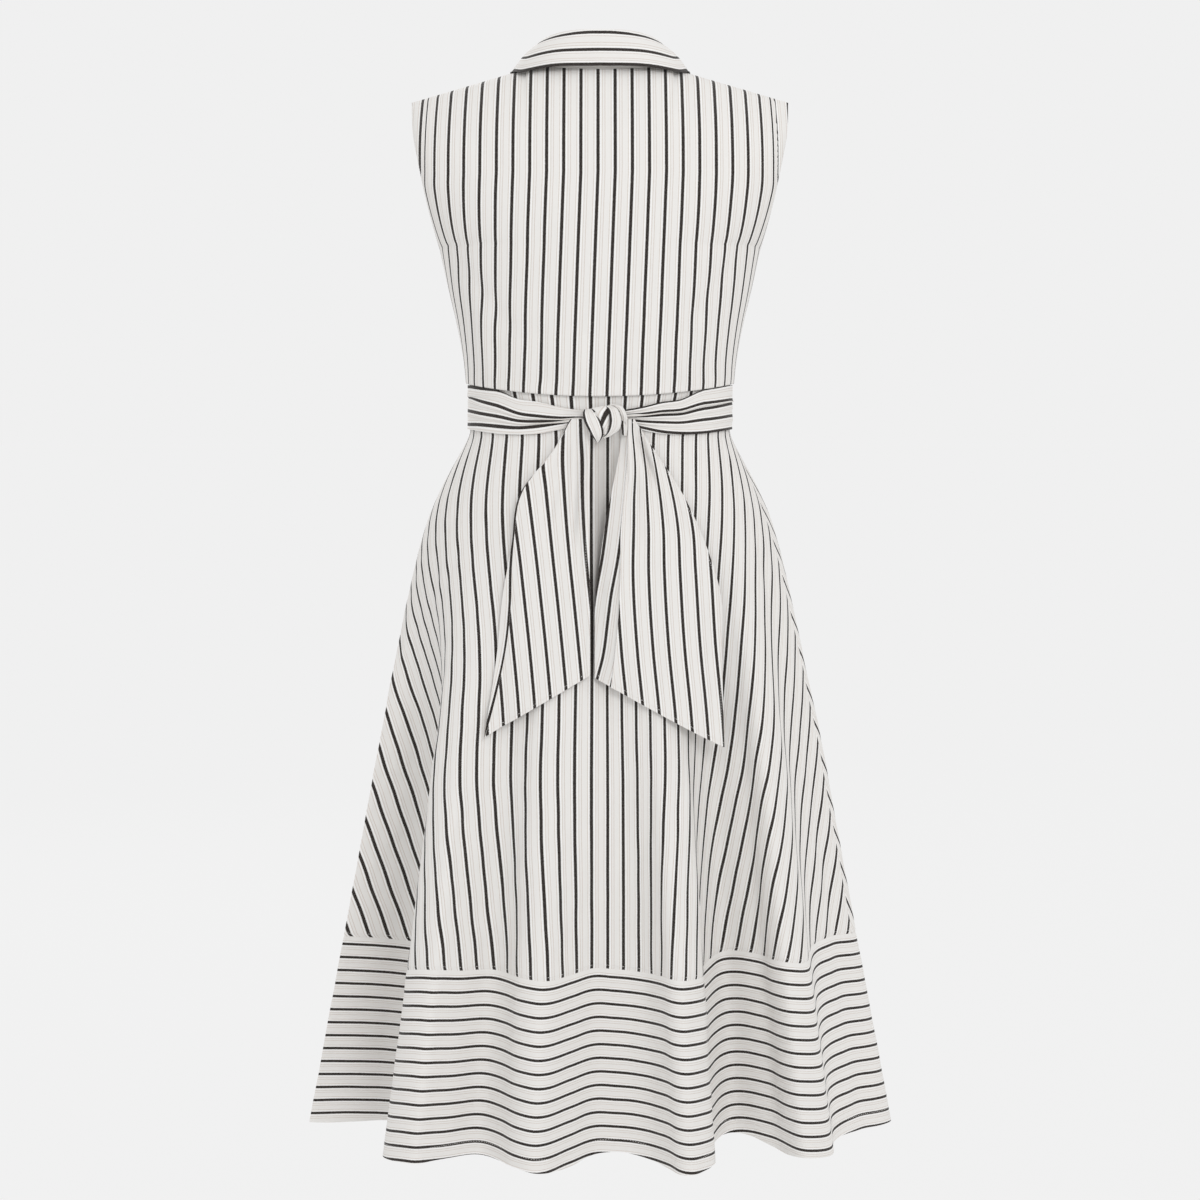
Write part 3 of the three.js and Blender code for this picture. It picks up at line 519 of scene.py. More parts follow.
# Rise of the band's seam and of the hem where the cloth hangs unevenly, in millimetres by station.
unevenEdges = {
    "station": (
        -0.32, -0.25, -0.232, -0.21, -0.179, -0.134, -0.107, -0.09, -0.066, -0.045, -0.030, -0.018, -0.004, 0.009,
        0.027, 0.045, 0.066, 0.08, 0.10, 0.116, 0.132, 0.15, 0.17, 0.188, 0.205, 0.232, 0.25, 0.32,
    ),
    "seam": (0, 4, 1, -4, -5, -7, 1, -3, -6, -7, -8, -6, -3, -5, -7, -6, -8, -9, -6, 1, 4.5, 2.5, 1.5, -2, 5, 11, 9.5, 0),
    "hem": (
        -4, -7, -11, -13, -9, -8, -3, -4.5, -7, -7, -11, -12, -6, -5, -10, -12, -10, -8, -3, 0, -2, -10, -8,
        -11, -7, -5, -6, -4,
    ),
}


def foldedHemCurve():
    angle, reach = np.radians([a for a, _ in frontFolds]), np.array([r for _, r in frontFolds])
    front = np.stack([plainHem["halfWidth"] * np.cos(angle), plainHem["front"] * np.sin(angle)], axis=1)
    points = [*backRightHem, *(front * reach[:, None]).tolist(), *backLeftHem]
    right, left = seamDepths["hem"]
    seams = [(plainHem["halfWidth"], right), (0, plainHem["front"]), (-plainHem["halfWidth"], left)]
    return stationedCurve(points, seams)


waistCurve = ovalCurve(waist, bulge, *seamDepths["waist"])
plainHemCurve = ovalCurve(plainHem, 2, *seamDepths["plain"])
foldedCurve = foldedHemCurve()


# The waist oval opens out over the hips to the plain hem oval, and the folds grow towards the hem.
def skirtRing(station, z):
    down = np.maximum(0, (waist["bottomZ"] - z) / skirt["length"])
    overHip = 1 - np.exp(-((down / hip["reach"]) ** hip["power"]))
    flare = (1 - hip["share"]) * down + hip["share"] * overHip
    behind = np.exp(-(((np.mod(station + 0.5, 1) - 0.5) / lateFolds["reach"]) ** 2))
    full = lerp(skirt["foldFull"], lateFolds["full"], behind)
    folded = flare * smoothStep(down, skirt["foldStart"], full)
    plain = plainHemCurve(station)
    ring = lerp(waistCurve(station), plain, flare[..., None])
    grown = 1 + tableValue(ease, "grow", np.minimum(z, waist["bottomZ"]))
    return (ring + (foldedCurve(station) - plain) * folded[..., None]) * grown[..., None]


# Softer folds between the main ones: station, its drift on the way down, width, depth and where it starts.
skirtRipples = [
    (-0.215, 0.00, 0.010, -0.0040, 0.15), (-0.185, 0.006, 0.008, 0.0030, 0.30),
    (-0.100, 0.004, 0.009, -0.0030, 0.2),
    (-0.052, 0.003, 0.008, 0.0026, 0.12), (0.020, -0.002, 0.010, -0.0026, 0.10),
    (0.052, 0.00, 0.007, 0.0024, 0.25),
    (0.150, -0.004, 0.008, -0.0028, 0.22), (0.205, 0.004, 0.009, 0.0034, 0.18),
    (0.235, 0.00, 0.007, -0.0026, 0.3),
    (0.285, 0.006, 0.008, 0.0034, 0.15), (0.345, -0.004, 0.009, -0.0030, 0.2),
    (0.420, 0.004, 0.008, 0.0028, 0.12),
    (0.560, 0.003, 0.009, -0.0028, 0.16), (0.630, -0.005, 0.008, 0.0030, 0.25),
    (0.705, 0.004, 0.009, -0.0032, 0.2),
]
# Short drawn lines where the skirt leaves the waist seam: station, half width, depth.
waistTucks = [
    (-0.19, 0.006, -0.0008), (-0.12, 0.005, 0.0007), (-0.06, 0.005, -0.0007), (0.05, 0.005, 0.0006),
    (0.13, 0.006, -0.0008), (0.20, 0.005, 0.0007), (0.31, 0.006, -0.0008), (0.40, 0.005, 0.0007),
    (0.58, 0.005, -0.0007), (0.69, 0.006, 0.0008),
]
# The trough between the sash ends, under the knot: x at its top and foot, half width, depth, both heights.
knotTrough = {"x": (0.0085, 0.0015), "halfWidth": 0.0105, "depth": 0.015, "z": (-0.342, -0.660)}
bandSeam = {"depth": 0.0007, "halfWidth": 0.0016}
hemFold = {"height": 0.013, "thick": 0.0011}


def wholeSkirt():
    back = np.linspace(-0.25, 0.25, skirtGrid["back"] + 1)
    front = np.linspace(0.25, 0.75, 2 * skirtGrid["front"] + 1)[1:-1]
    station = np.concatenate([back, front])[None, :]
    bandTop = skirt["bandTopZ"]
    upper = np.linspace(waist["topZ"], bandTop + 0.0045, skirtGrid["rows"])
    lower = np.linspace(bandTop - 0.0045, skirt["hemZ"], skirtGrid["bandRows"])
    near = bandTop + np.array([0.0024, 0.0012, 0.0, -0.0012, -0.0024])
    z = np.concatenate([upper, near, lower])[:, None]
    seamRow = len(upper) + 2
    around = np.where(station > 0.5, station - 1, station)
    seamRise, hemRise = (tableValue(unevenEdges, name, around) / 1000 for name in ("seam", "hem"))
    inFront = np.abs(around) > 0.32
    seamRise, hemRise = np.where(inFront, 0, seamRise), np.where(inFront, -0.004, hemRise)
    towardsHem = np.clip((bandTop - z) / (bandTop - skirt["hemZ"]), 0, 1)
    height = z + lerp(seamRise * smoothStep(-z, 0.74, -bandTop), hemRise, towardsHem)
    ring = skirtRing(station + 0 * z, height)
    grid = np.concatenate([ring, height[..., None]], axis=-1)
    down = np.maximum(0, (waist["bottomZ"] - z) / skirt["length"])
    out = unevenness(station * 2.2, z, 0.00035, 3) * smoothStep(down, 0, 0.2)
    for middle, drift, width, depth, start in skirtRipples:
        off = np.mod(station - middle - drift * down + 0.5, 1) - 0.5
        out = out + depth * np.exp(-((off / width) ** 2)) * smoothStep(down, start, start + 0.45)
    for middle, width, depth in waistTucks:
        off = np.mod(station - middle + 0.5, 1) - 0.5
        fade = np.exp(-((down / 0.12) ** 2)) * smoothStep(down, 0, 0.02)
        out = out + depth * np.exp(-((off / width) ** 2)) * fade
    out = out - bandSeam["depth"] * np.exp(-(((z - bandTop) / bandSeam["halfWidth"]) ** 2))
    grid = grid + gridNormals(grid, closed=True) * out[..., None]
    return grid, station[0], z[:, 0], seamRow


# Stripe repeats on a skirt panel: the cut is a sector, its stripes parallel to its middle line.
def skirtFlat(grid, middle, phase):
    run = runAlong(grid, 1)
    signed = run - run[:, middle : middle + 1]
    ends = np.where(signed < 0, -signed[:, :1], signed[:, -1:])
    radius = skirtCut["waistRadius"] + skirtCut["slant"] * (waist["bottomZ"] - grid[..., 2])
    angle = math.radians(skirtCut["halfAngle"]) * signed / np.maximum(ends, 1e-9)
    return np.stack([radius * np.sin(angle) / skirtCut["pitch"] + phase, -radius * np.cos(angle)], axis=-1)


# Stripe repeats on the hem band: they run round it, level, and count down from its seam.
def bandFlat(grid):
    z = grid[..., 2]
    repeats = (z[:1] - z) * skirtCut["slant"] / skirtCut["bandPitch"]
    return np.stack([repeats + 0.42, runAlong(grid, 1)], axis=-1)


# A trough pushed in from behind: a bell across, which fades in below the knot and out at its foot.
def underKnot(grid):
    high, low = knotTrough["z"]
    down = (high - grid[..., 2]) / (high - low)
    middle = lerp(*knotTrough["x"], np.clip(down, 0, 1))
    bell = np.exp(-(((grid[..., 0] - middle) / knotTrough["halfWidth"]) ** 2)) * (grid[..., 1] < 0)
    push = knotTrough["depth"] * bell * smoothStep(down, 0, 0.13) * (1 - smoothStep(down, 0.45, 1))
    return grid + push[..., None] * (0, 1.0, 0)


def makeSkirt():
    grid, station, z, seam = wholeSkirt()
    pushed = underKnot(grid)
    columns = len(station)
    back, front = skirtGrid["back"], skirtGrid["front"]
    spans = {
        "Back": (np.arange(back + 1), back // 2, 0.5),
        "FrontRight": (np.arange(back, back + front + 1), front, 0.0),
        "FrontLeft": (np.arange(back + front, columns + 1) % columns, 0, 0.0),
    }
    nodes = {"Back": "back_skirt", "FrontRight": "front_skirt_right", "FrontLeft": "front_skirt_left"}
    bands = {
        "Back": "hem_band_back", "FrontRight": "hem_band_front_right", "FrontLeft": "hem_band_front_left",
    }
    for name, (span, middle, phase) in spans.items():
        flat = skirtFlat(grid[:, span], middle, phase)
        panel = pushed[:, span]
        upper, lower = panel[: seam + 1], panel[seam:]
        clothPiece("skirt" + name, upper, flat[: seam + 1], stands=[nodes[name]])
        thick = lerp(clothThick, hemFold["thick"], z[seam:, None] < skirt["hemZ"] + hemFold["height"])
        thick = thick + 0 * lower[..., 0]
        clothPiece("hemBand" + name, lower, bandFlat(lower), thick, stands=[bands[name]])
    normals = gridNormals(grid, closed=True)
    rows = []
    for height in (skirt["hemZ"] + hemFold["height"], skirt["bandTopZ"] + 0.0034):
        share = np.interp(-height, -z, np.arange(len(z)))
        at, part = int(share), share - int(share)
        line, normal = (lerp(values[at], values[at + 1], part) for values in (grid, normals))
        rows.append((np.concatenate([line, line[:1]]), np.concatenate([normal, normal[:1]])))
    stitches("skirtStitches", rows)


print("skirt")
makeSkirt()


# Bodice

shoulder = {"neckX": 0.072, "tipX": 0.1857, "neckZ": 0.006, "slope": 0.292, "roll": 0.080}
neck = {"back": 0.060, "front": 0.070, "backDrop": 0.008, "frontDrop": 0.068}
armhole = {"topZ": -0.030, "height": 0.140, "backCut": 0.046, "frontCut": 0.042, "roundness": 0.7}
bodiceHem = {"sideZ": -0.3023, "backDip": 0.0124, "roll": 0.0017, "tuck": 0.007}
torso = {
    "z": (0.010, -0.030, -0.060, -0.090, -0.130, -0.170, -0.210, -0.250, -0.290, -0.311, -0.320),
    "half": (0.1857, 0.1857, 0.1830, 0.1768, 0.1684, 0.1590, 0.1504, 0.1410, 0.1346, 0.1330, 0.1330),
    "back": (0.066, 0.076, 0.087, 0.095, 0.102, 0.105, 0.105, 0.104, 0.102, 0.098, 0.098),
    "front": (0.060, 0.064, 0.073, 0.090, 0.113, 0.126, 0.123, 0.112, 0.102, 0.096, 0.096),
}
bodiceGrid = {"neck": 40, "shoulder": 52, "rows": 110}
placket = {
    "halfWidth": 0.016, "thick": 0.0011, "topRow": 0.995, "skirtTopZ": -0.3524, "rows": 170, "stitchesAt": 0.003,
}
# Troughs and ridges of the bodice: x and z of both ends, half width, depth.
backCreases = [
    (-0.165, -0.150, -0.060, -0.285, 0.009, -0.0020), (0.160, -0.140, 0.070, -0.275, 0.009, -0.0018),
    (-0.120, -0.215, -0.105, -0.316, 0.008, 0.0022), (-0.062, -0.235, -0.055, -0.320, 0.009, -0.0020),
    (-0.020, -0.255, -0.018, -0.324, 0.007, 0.0016), (0.030, -0.240, 0.028, -0.322, 0.009, -0.0018),
    (0.082, -0.225, 0.075, -0.320, 0.008, 0.0020), (0.118, -0.205, 0.104, -0.316, 0.008, -0.0018),
    (-0.150, -0.040, -0.075, -0.120, 0.012, -0.0012), (0.150, -0.045, 0.080, -0.130, 0.012, -0.0012),
    (-0.100, -0.060, 0.100, -0.072, 0.016, 0.0008), (-0.085, -0.165, 0.060, -0.178, 0.018, -0.0008),
]
frontCreases = [
    (0.150, -0.125, 0.070, -0.180, 0.010, -0.0022), (0.140, -0.150, 0.085, -0.230, 0.010, 0.0016),
    (0.125, -0.200, 0.112, -0.310, 0.008, -0.0020), (0.085, -0.215, 0.078, -0.312, 0.008, 0.0020),
    (0.048, -0.235, 0.044, -0.312, 0.007, -0.0016), (0.140, -0.040, 0.090, -0.110, 0.012, -0.0012),
]


def bodiceTop(x, side):
    away = np.abs(x)
    drop = neck["frontDrop"] if side > 0 else neck["backDrop"]
    neckline = shoulder["neckZ"] - drop * (1 - (away / shoulder["neckX"]) ** 2)
    seam = shoulder["neckZ"] - shoulder["slope"] * (away - shoulder["neckX"])
    return np.where(away > shoulder["neckX"], seam, neckline)


def bodiceBottom(x, side):
    dip = bodiceHem["backDip"] if side < 0 else 0
    return bodiceHem["sideZ"] - dip * (1 - np.minimum(1, np.abs(x) / shoulder["tipX"]) ** 2)


# Distance from the plane of the side seams: a superellipse section, rolled over at the shoulders and
# brought in to the armhole's edge at its sides.
def bodiceDepth(x, z, side, topX):
    half = tableValue(torso, "half", z)
    middle = tableValue(torso, "back" if side < 0 else "front", z)
    armShare = np.clip((armhole["topZ"] - z) / armhole["height"], 0, 1)
    deepest = armhole["backCut" if side < 0 else "frontCut"]
    cut = deepest * np.sin(np.pi * armShare) ** armhole["roundness"]
    away = np.minimum(1, np.abs(x) / half)
    section = cut + (middle - cut) * (1 - away**bulge) ** (1 / bulge)
    neckShare = np.minimum(1, np.abs(topX) / shoulder["neckX"])
    atTop = neck["back" if side < 0 else "front"] * np.sqrt(1 - neckShare**2)
    below = np.clip((bodiceTop(topX, side) - z) / shoulder["roll"], 0, 1)
    return atTop + (section - atTop) * np.sqrt(1 - (1 - below) ** 2)


# A column is known by its x at the top edge; it narrows with the body, except beside the button front.
def bodiceSurface(topX, row, side):
    z = lerp(bodiceBottom(topX, side), bodiceTop(topX, side), row)
    narrowed = tableValue(torso, "half", z) / shoulder["tipX"]
    if side > 0:
        narrowed = lerp(1, narrowed, smoothStep(np.abs(topX), 0.017, 0.034))
    x = topX * narrowed
    y = side * np.maximum(bodiceDepth(x, z, side, topX), seamGap / 2)
    return np.stack([x, y, z], axis=-1)


# Columns by the superellipse's angle, so that they crowd together near the side seams.
def bodiceColumns():
    neckAngle = math.asin((shoulder["neckX"] / shoulder["tipX"]) ** (bulge / 2))
    inner = np.linspace(0, neckAngle, bodiceGrid["neck"] + 1)
    outer = np.linspace(neckAngle, np.pi / 2, bodiceGrid["shoulder"] + 1)[1:]
    return shoulder["tipX"] * np.sin(np.concatenate([inner, outer])) ** (2 / bulge)


# The bodice's bottom edge rolls under where it blouses: a half circle inward, then up inside.
def rollUnder(grid, normals):
    angle = np.linspace(0, np.pi, 9)[1:, None, None]
    up = np.array([0, 0, 1.0])
    edge, normal = grid[-1], unit(normals[-1] * (1, 1, 0))
    arc = edge - normal * bodiceHem["roll"] * (1 - np.cos(angle)) - up * bodiceHem["roll"] * np.sin(angle)
    inside = arc[-1] + up * bodiceHem["tuck"] * np.array([0.3, 0.7, 1.0])[:, None, None]
    return np.concatenate([grid, arc, inside])


def bodicePanel(topX, side, lines, seed):
    row = (1 - np.linspace(0, 1, bodiceGrid["rows"]) ** 0.9)[:, None]
    grid = bodiceSurface(topX[None, :] + 0 * row, row + 0 * topX[None, :], side)
    x, z = grid[..., 0], grid[..., 2]
    turned = -side
    normals = gridNormals(grid) * turned
    calm = smoothStep(row, 0, 0.04) * (1 - smoothStep(row, 0.86, 1)) * (1 - (np.abs(topX) / shoulder["tipX"]) ** 6)
    out = creases(np.abs(x) if side > 0 else x, z, lines) + unevenness(x, z, 0.0004, seed)
    blouse = 0.0012 * np.exp(-((row / 0.05) ** 2)) * (1 - (np.abs(topX) / shoulder["tipX"]) ** 6)
    grid = grid + normals * (out * calm + blouse)[..., None]
    normals = gridNormals(grid) * turned
    return grid, normals


# Stripe repeats on the bodice: along the cloth from its middle up to the chest, plumb from there on.
def bodiceFlat(grid, middle, phase, lean):
    run = runAlong(grid, 1)
    signed = run - run[:, middle : middle + 1]
    x, z = grid[..., 0], grid[..., 2]
    chest = np.abs(z[:, middle] + 0.103).argmin()
    share = np.clip(x, x[chest].min(), x[chest].max())
    plumb = np.interp(share, x[chest], signed[chest]) + (x - share) * 1.15
    signed = lerp(signed, plumb, smoothStep(z, -0.125, -0.100))
    leaning = lean * np.minimum(z + 0.103, 0)
    return np.stack([(signed - leaning) / stripePitch + phase, z], axis=-1)


def makeBodice():
    half = bodiceColumns()
    topX = np.concatenate([-half[:0:-1], half])
    grid, normals = bodicePanel(topX, -1, backCreases, 5)
    rolled = rollUnder(grid, normals)
    flat = bodiceFlat(rolled, len(half) - 1, 0.116, 0.037)
    clothPiece("bodiceBack", rolled, flat, stands=["back_bodice"])
    rows = [armholeRow(grid, normals, "left"), armholeRow(grid, normals, "right")]
    for name, hand, node in (("Right", 1, "front_bodice_right"), ("Left", -1, "front_bodice_left")):
        columns = np.maximum(half, seamGap / 2)
        columns = columns if hand > 0 else -columns[::-1]
        grid, normals = bodicePanel(columns, 1, frontCreases, 7)
        rolled = rollUnder(grid, normals)
        flat = bodiceFlat(rolled, 0 if hand > 0 else len(half) - 1, 0.5, 0.0)
        clothPiece("bodiceFront" + name, rolled, flat, stands=[node], inward=1)
        rows.append(armholeRow(grid, normals, "right" if hand > 0 else "left"))
    stitches("bodiceStitches", rows)


# The armhole's topstitching, between the shoulder and the top of the side seam.
def armholeRow(grid, normals, side):
    line, normal = insetLine(grid, normals, side, 0.006)
    inArmhole = line[:, 2] > armhole["topZ"] - armhole["height"] - 0.004
    return line[inArmhole], normal[inArmhole]


print("bodice")
makeBodice()


# Collar

fold = {"halfWidth": 0.0555, "back": 0.050, "front": 0.057, "z": 0.0335, "sideDrop": 0.0075, "frontDrop": 0.0665}
stand = {"thick": 0.0016, "rows": 22, "lap": 0.0019, "stitchesAt": 0.0025}
leaf = {"topAt": 171, "pointAt": 150, "planPower": 0.8, "dropPower": 1.7, "thick": 0.0016, "stitchesAt": 0.005}
# Stripe repeats on the leaf by the distance from its edge, in millimetres.
leafStripes = {"up": (0, 1.3, 16.6, 36.8, 60, 130), "repeats": (0.92, 1.0, 2.0, 3.0, 4.4, 8.7)}
leafRise = {"crown": 0.002, "overStand": 0.0008, "overShoulders": 0.0019, "rows": 44, "columns": 200}
leafEdge = {
    "angle": (0, 30, 60, 90, 110, 130, 150, 171),
    "x": (0, 0.043, 0.076, 0.088, 0.087, 0.074, 0.050, 0.024),
    "y": (-0.0695, -0.0630, -0.0385, 0.0, 0.026, 0.058, 0.084, 0.094),
    "z": (0.0002, 0.0000, -0.0016, 0.0015, -0.010, -0.044, -0.092, -0.098),
}


# Height of the fold line: lower at the sides and lowest in front, by the share of its half width.
def foldHeight(share, front):
    drop = np.where(front, fold["frontDrop"] * (1 - share**2), 0)
    return fold["z"] - drop - fold["sideDrop"] * share**4


# The stand rises from the neckline to a smaller ring. Its columns are x of the neckline on a side.
def standSurface(x, side, row, out):
    share = x / shoulder["neckX"]
    deep = np.sqrt(np.maximum(0, 1 - share**2))
    low = np.where(side < 0, neck["back"], neck["front"])
    high = np.where(side < 0, fold["back"], fold["front"])
    top = np.where(side < 0, bodiceTop(x, -1), bodiceTop(x, 1)) + seamGap
    bottom = np.stack([x, side * low * deep, top], axis=-1)
    ring = np.stack([fold["halfWidth"] * share, side * high * deep, foldHeight(share, side > 0)], axis=-1)
    outward = unit(np.stack([share / shoulder["neckX"], side * deep / low, 0 * x], axis=-1))
    return lerp(bottom, ring, row[..., None]) + outward * out[..., None]


def makeStand():
    angle = np.radians(np.linspace(-179.6, 187, 236))[None, :]
    row = np.linspace(1, 0, stand["rows"])[:, None]
    side = np.where(np.cos(angle) > 0, -1, 1) + 0 * row
    over = smoothStep(np.degrees(angle), 168, 181) * stand["lap"]
    x = shoulder["neckX"] * np.sin(angle) + 0 * row
    grid = standSurface(x, side, row + 0 * angle, over + 0 * row)
    run = runAlong(grid, 1)
    flat = np.stack([row * 0.040 / stripePitch + 0.2 + 0 * angle, run], axis=-1)
    clothPiece("collarStand", grid, flat, stand["thick"], stands=["collar_stand"])
    stitches("standStitches", [insetLine(grid, gridNormals(grid), "bottom", stand["stitchesAt"])])


def foldLine(angle):
    turn = np.radians(angle)
    front = np.cos(turn) < 0
    depth = np.where(front, fold["front"], fold["back"])
    height = foldHeight(np.sin(turn), front)
    return np.stack([fold["halfWidth"] * np.sin(turn), -depth * np.cos(turn), height], axis=-1)


# The leaf turns over the top of the stand and falls along a curve to its pointed edge.
def leafSurface(round_, row):
    reach = lerp(leaf["topAt"], leaf["pointAt"], np.clip((row - 0.2) / 0.6, 0, 1))
    angle = round_ * reach
    tangent = unit(foldLine(angle + 1) - foldLine(angle - 1))
    outward = unit(np.cross(tangent, (0, 0, 1.0)))
    upward = unit(np.cross(outward, tangent))
    top = foldLine(angle) - outward * leaf["thick"] + upward * (leafRise["overStand"] + leaf["thick"])
    edge = [tableValue(leafEdge, name, np.abs(angle)) for name in "xyz"]
    bottom = np.stack([np.sign(angle) * edge[0], edge[1], edge[2]], axis=-1)
    point = lerp(top, bottom, (row ** leaf["planPower"])[..., None])
    point[..., 2] = lerp(top[..., 2], bottom[..., 2], row ** leaf["dropPower"])
    crown = leafRise["crown"] * np.sin(np.pi * np.minimum(1, row / 0.25))
    return point + upward * crown[..., None]


# Points over the shoulders and round the neck with their normals, for cloth that lies on them.
def shoulderCloud():
    x = np.linspace(-0.12, 0.12, 81)[None, :]
    row = np.linspace(1, 0.6, 41)[:, None]
    points, normals = [], []
    for side in (-1, 1):
        grid = bodiceSurface(x + 0 * row, row + 0 * x, side)
        points.append(grid.reshape(-1, 3))
        normals.append((gridNormals(grid) * -side).reshape(-1, 3))
    return np.concatenate(points), np.concatenate(normals)


def clearOf(cloud, grid, clearance):
    spots, normals = cloud
    for line in grid:
        for _ in range(2):
            apart = ((line[:, None, :] - spots[None, :, :]) ** 2).sum(axis=-1)
            nearest = apart.argmin(axis=1)
            height = ((line - spots[nearest]) * normals[nearest]).sum(axis=-1)
            line += normals[nearest] * np.maximum(0, clearance - height)[:, None]


# Soft waves of the leaf: degrees round, width in degrees, height at the outer edge.
leafWaves = [
    (-118, 16, 0.0022), (-70, 20, -0.0006), (-28, 16, 0.0008), (34, 18, 0.0007), (74, 18, -0.0006),
    (112, 16, 0.0022),
]


def makeLeaf():
    round_ = np.linspace(-1, 1, leafRise["columns"] + 1)[None, :]
    row = (np.linspace(0, 1, leafRise["rows"] + 1) ** 1.15)[:, None]
    grid = leafSurface(round_ + 0 * row, row + 0 * round_)
    clearOf(shoulderCloud(), grid[np.searchsorted(row[:, 0], 0.3) :], leafRise["overShoulders"])
    grid[1:-1] = (grid[:-2] + 2 * grid[1:-1] + grid[2:]) / 4
    angle = round_ * leaf["pointAt"]
    out = sum(height * np.exp(-(((angle - at) / width) ** 2)) for at, width, height in leafWaves)
    out = out * smoothStep(row, 0.35, 1) + unevenness(angle / 1500, row * 0.05, 0.0002, 13) * smoothStep(row, 0.1, 0.5)
    grid = grid + gridNormals(grid) * out[..., None]
    normals = gridNormals(grid)
    run, drop = runAlong(grid, 1), runAlong(grid, 0)
    middle = leafRise["columns"] // 2
    repeats = tableValue(leafStripes, "repeats", (drop[-1:] - drop) * 1000)
    flat = np.stack([repeats, run - run[:, middle : middle + 1]], axis=-1)
    thick = leaf["thick"] * (1 - 0.5 * smoothStep(row, 0.82, 1)) + 0 * round_
    clothPiece("collarLeaf", grid, flat, thick, stands=["collar_leaf"])
    inset = leaf["stitchesAt"]
    ends = [insetLine(grid[8:], normals[8:], side, inset) for side in ("left", "right")]
    stitches("collarStitches", [insetLine(grid, normals, "bottom", inset), *ends])


print("collar")
makeStand()
makeLeaf()


# Button front

buttonAt = {
    "bodice": (-0.098, -0.158, -0.218, -0.278),
    "skirt": (-0.405, -0.500, -0.595, -0.690, -0.785, -0.890),
}


# A doubled strip on the front panels: across its width, down its length, lifted off them by its thickness.
def placketLift(across):
    share = across / placket["halfWidth"]
    puff = 0.0003 * np.cos(share * 4.6 * np.pi) ** 2
    return (seamGap + placket["thick"] + puff) * (1 - np.abs(share) ** 14) + seamGap * np.abs(share) ** 14


def bodicePlacket(across, rows):
    grid = bodiceSurface(-across + 0 * rows, rows + 0 * across, 1)
    return grid + gridNormals(grid) * (placketLift(across) + 0 * rows)[..., None]


def skirtPlacket(across, rows):
    step = 0.0008
    ends = [skirtRing(0.5 + k * step + 0 * rows, rows) for k in (-1, 1)]
    perMetre = 2 * step / np.linalg.norm(ends[1] - ends[0], axis=-1)
    ring = skirtRing(0.5 + across * perMetre, rows + 0 * across)
    grid = np.concatenate([ring, (rows + 0 * across)[..., None]], axis=-1)
    return grid + gridNormals(grid) * (placketLift(across) + 0 * rows)[..., None]


def makePlacket(name, node, surface, rows):
    across = np.linspace(-1, 1, 25)[None, :] * placket["halfWidth"]
    grid = surface(across, rows)
    run = runAlong(grid, 1)
    flat = np.stack([(run - run[:, 12:13]) / stripePitch + 0.5, runAlong(grid, 0)], axis=-1)
    clothPiece(name, grid, flat, placket["thick"] * 0.8, stands=[node])
    normals = gridNormals(grid)
    seams = [insetLine(grid, normals, side, placket["stitchesAt"]) for side in ("left", "right")]
    stitches(name + "Stitches", seams)


print("button front")
bodiceRows = np.linspace(placket["topRow"], 0.002, 110)[:, None]
skirtRows = np.linspace(placket["skirtTopZ"], skirt["hemZ"] + 0.0006, placket["rows"])[:, None]
makePlacket("placketBodice", "front_placket_bodice", bodicePlacket, bodiceRows)
makePlacket("placketSkirt", "front_placket_skirt", skirtPlacket, skirtRows)


# Buttons

button = {"radius": 0.0055, "thick": 0.0026, "lift": 0.0004, "holeRadius": 0.00055, "holesAt": 0.00135}
# Outline of half a button: radius and height, from the middle of its back to the middle of its face.
buttonOutline = {
    "share": (0, 0.12, 0.22, 0.30, 0.36, 0.42, 0.48, 0.54, 0.62, 0.72, 1),
    "radius": (0.0001, 0.0030, 0.0049, 0.00545, 0.0055, 0.0054, 0.0050, 0.0044, 0.0038, 0.0030, 0.0001),
    "height": (0, 0, 0.0001, 0.0006, 0.0013, 0.0021, 0.0026, 0.0025, 0.0020, 0.0017, 0.0016),
}


def tubeFaces(rows, columns):
    index = np.arange(rows * columns).reshape(rows, columns)
    i = np.arange(columns // 2 - 1)
    strip = np.stack([i, i + 1, columns - 2 - i, columns - 1 - i], axis=-1)
    return np.concatenate([gridFaces(rows, columns, True), index[0][strip[:, ::-1]], index[-1][strip]])


# A button turned about its axis, with four holes sunk in its face, and its frame: place, axis, upward.
def buttonPoints(place, axis):
    share = np.linspace(0, 1, 46)[:, None]
    turn = np.arange(48)[None, :] * 2 * np.pi / 48
    radius = tableValue(buttonOutline, "radius", share)
    height = tableValue(buttonOutline, "height", share)
    x, y = radius * np.cos(turn), radius * np.sin(turn)
    hole = (np.abs(x) - button["holesAt"] * 0.7071) ** 2 + (np.abs(y) - button["holesAt"] * 0.7071) ** 2
    deep = 0.0011 * np.exp(-((hole / button["holeRadius"] ** 2) ** 2)) * (share > 0.6)
    side = unit(np.cross((0, 0, 1.0), axis))
    up = np.cross(axis, side)
    lifted = (height - deep + button["lift"])[..., None]
    return place + x[..., None] * side + y[..., None] * up + lifted * axis, side, up


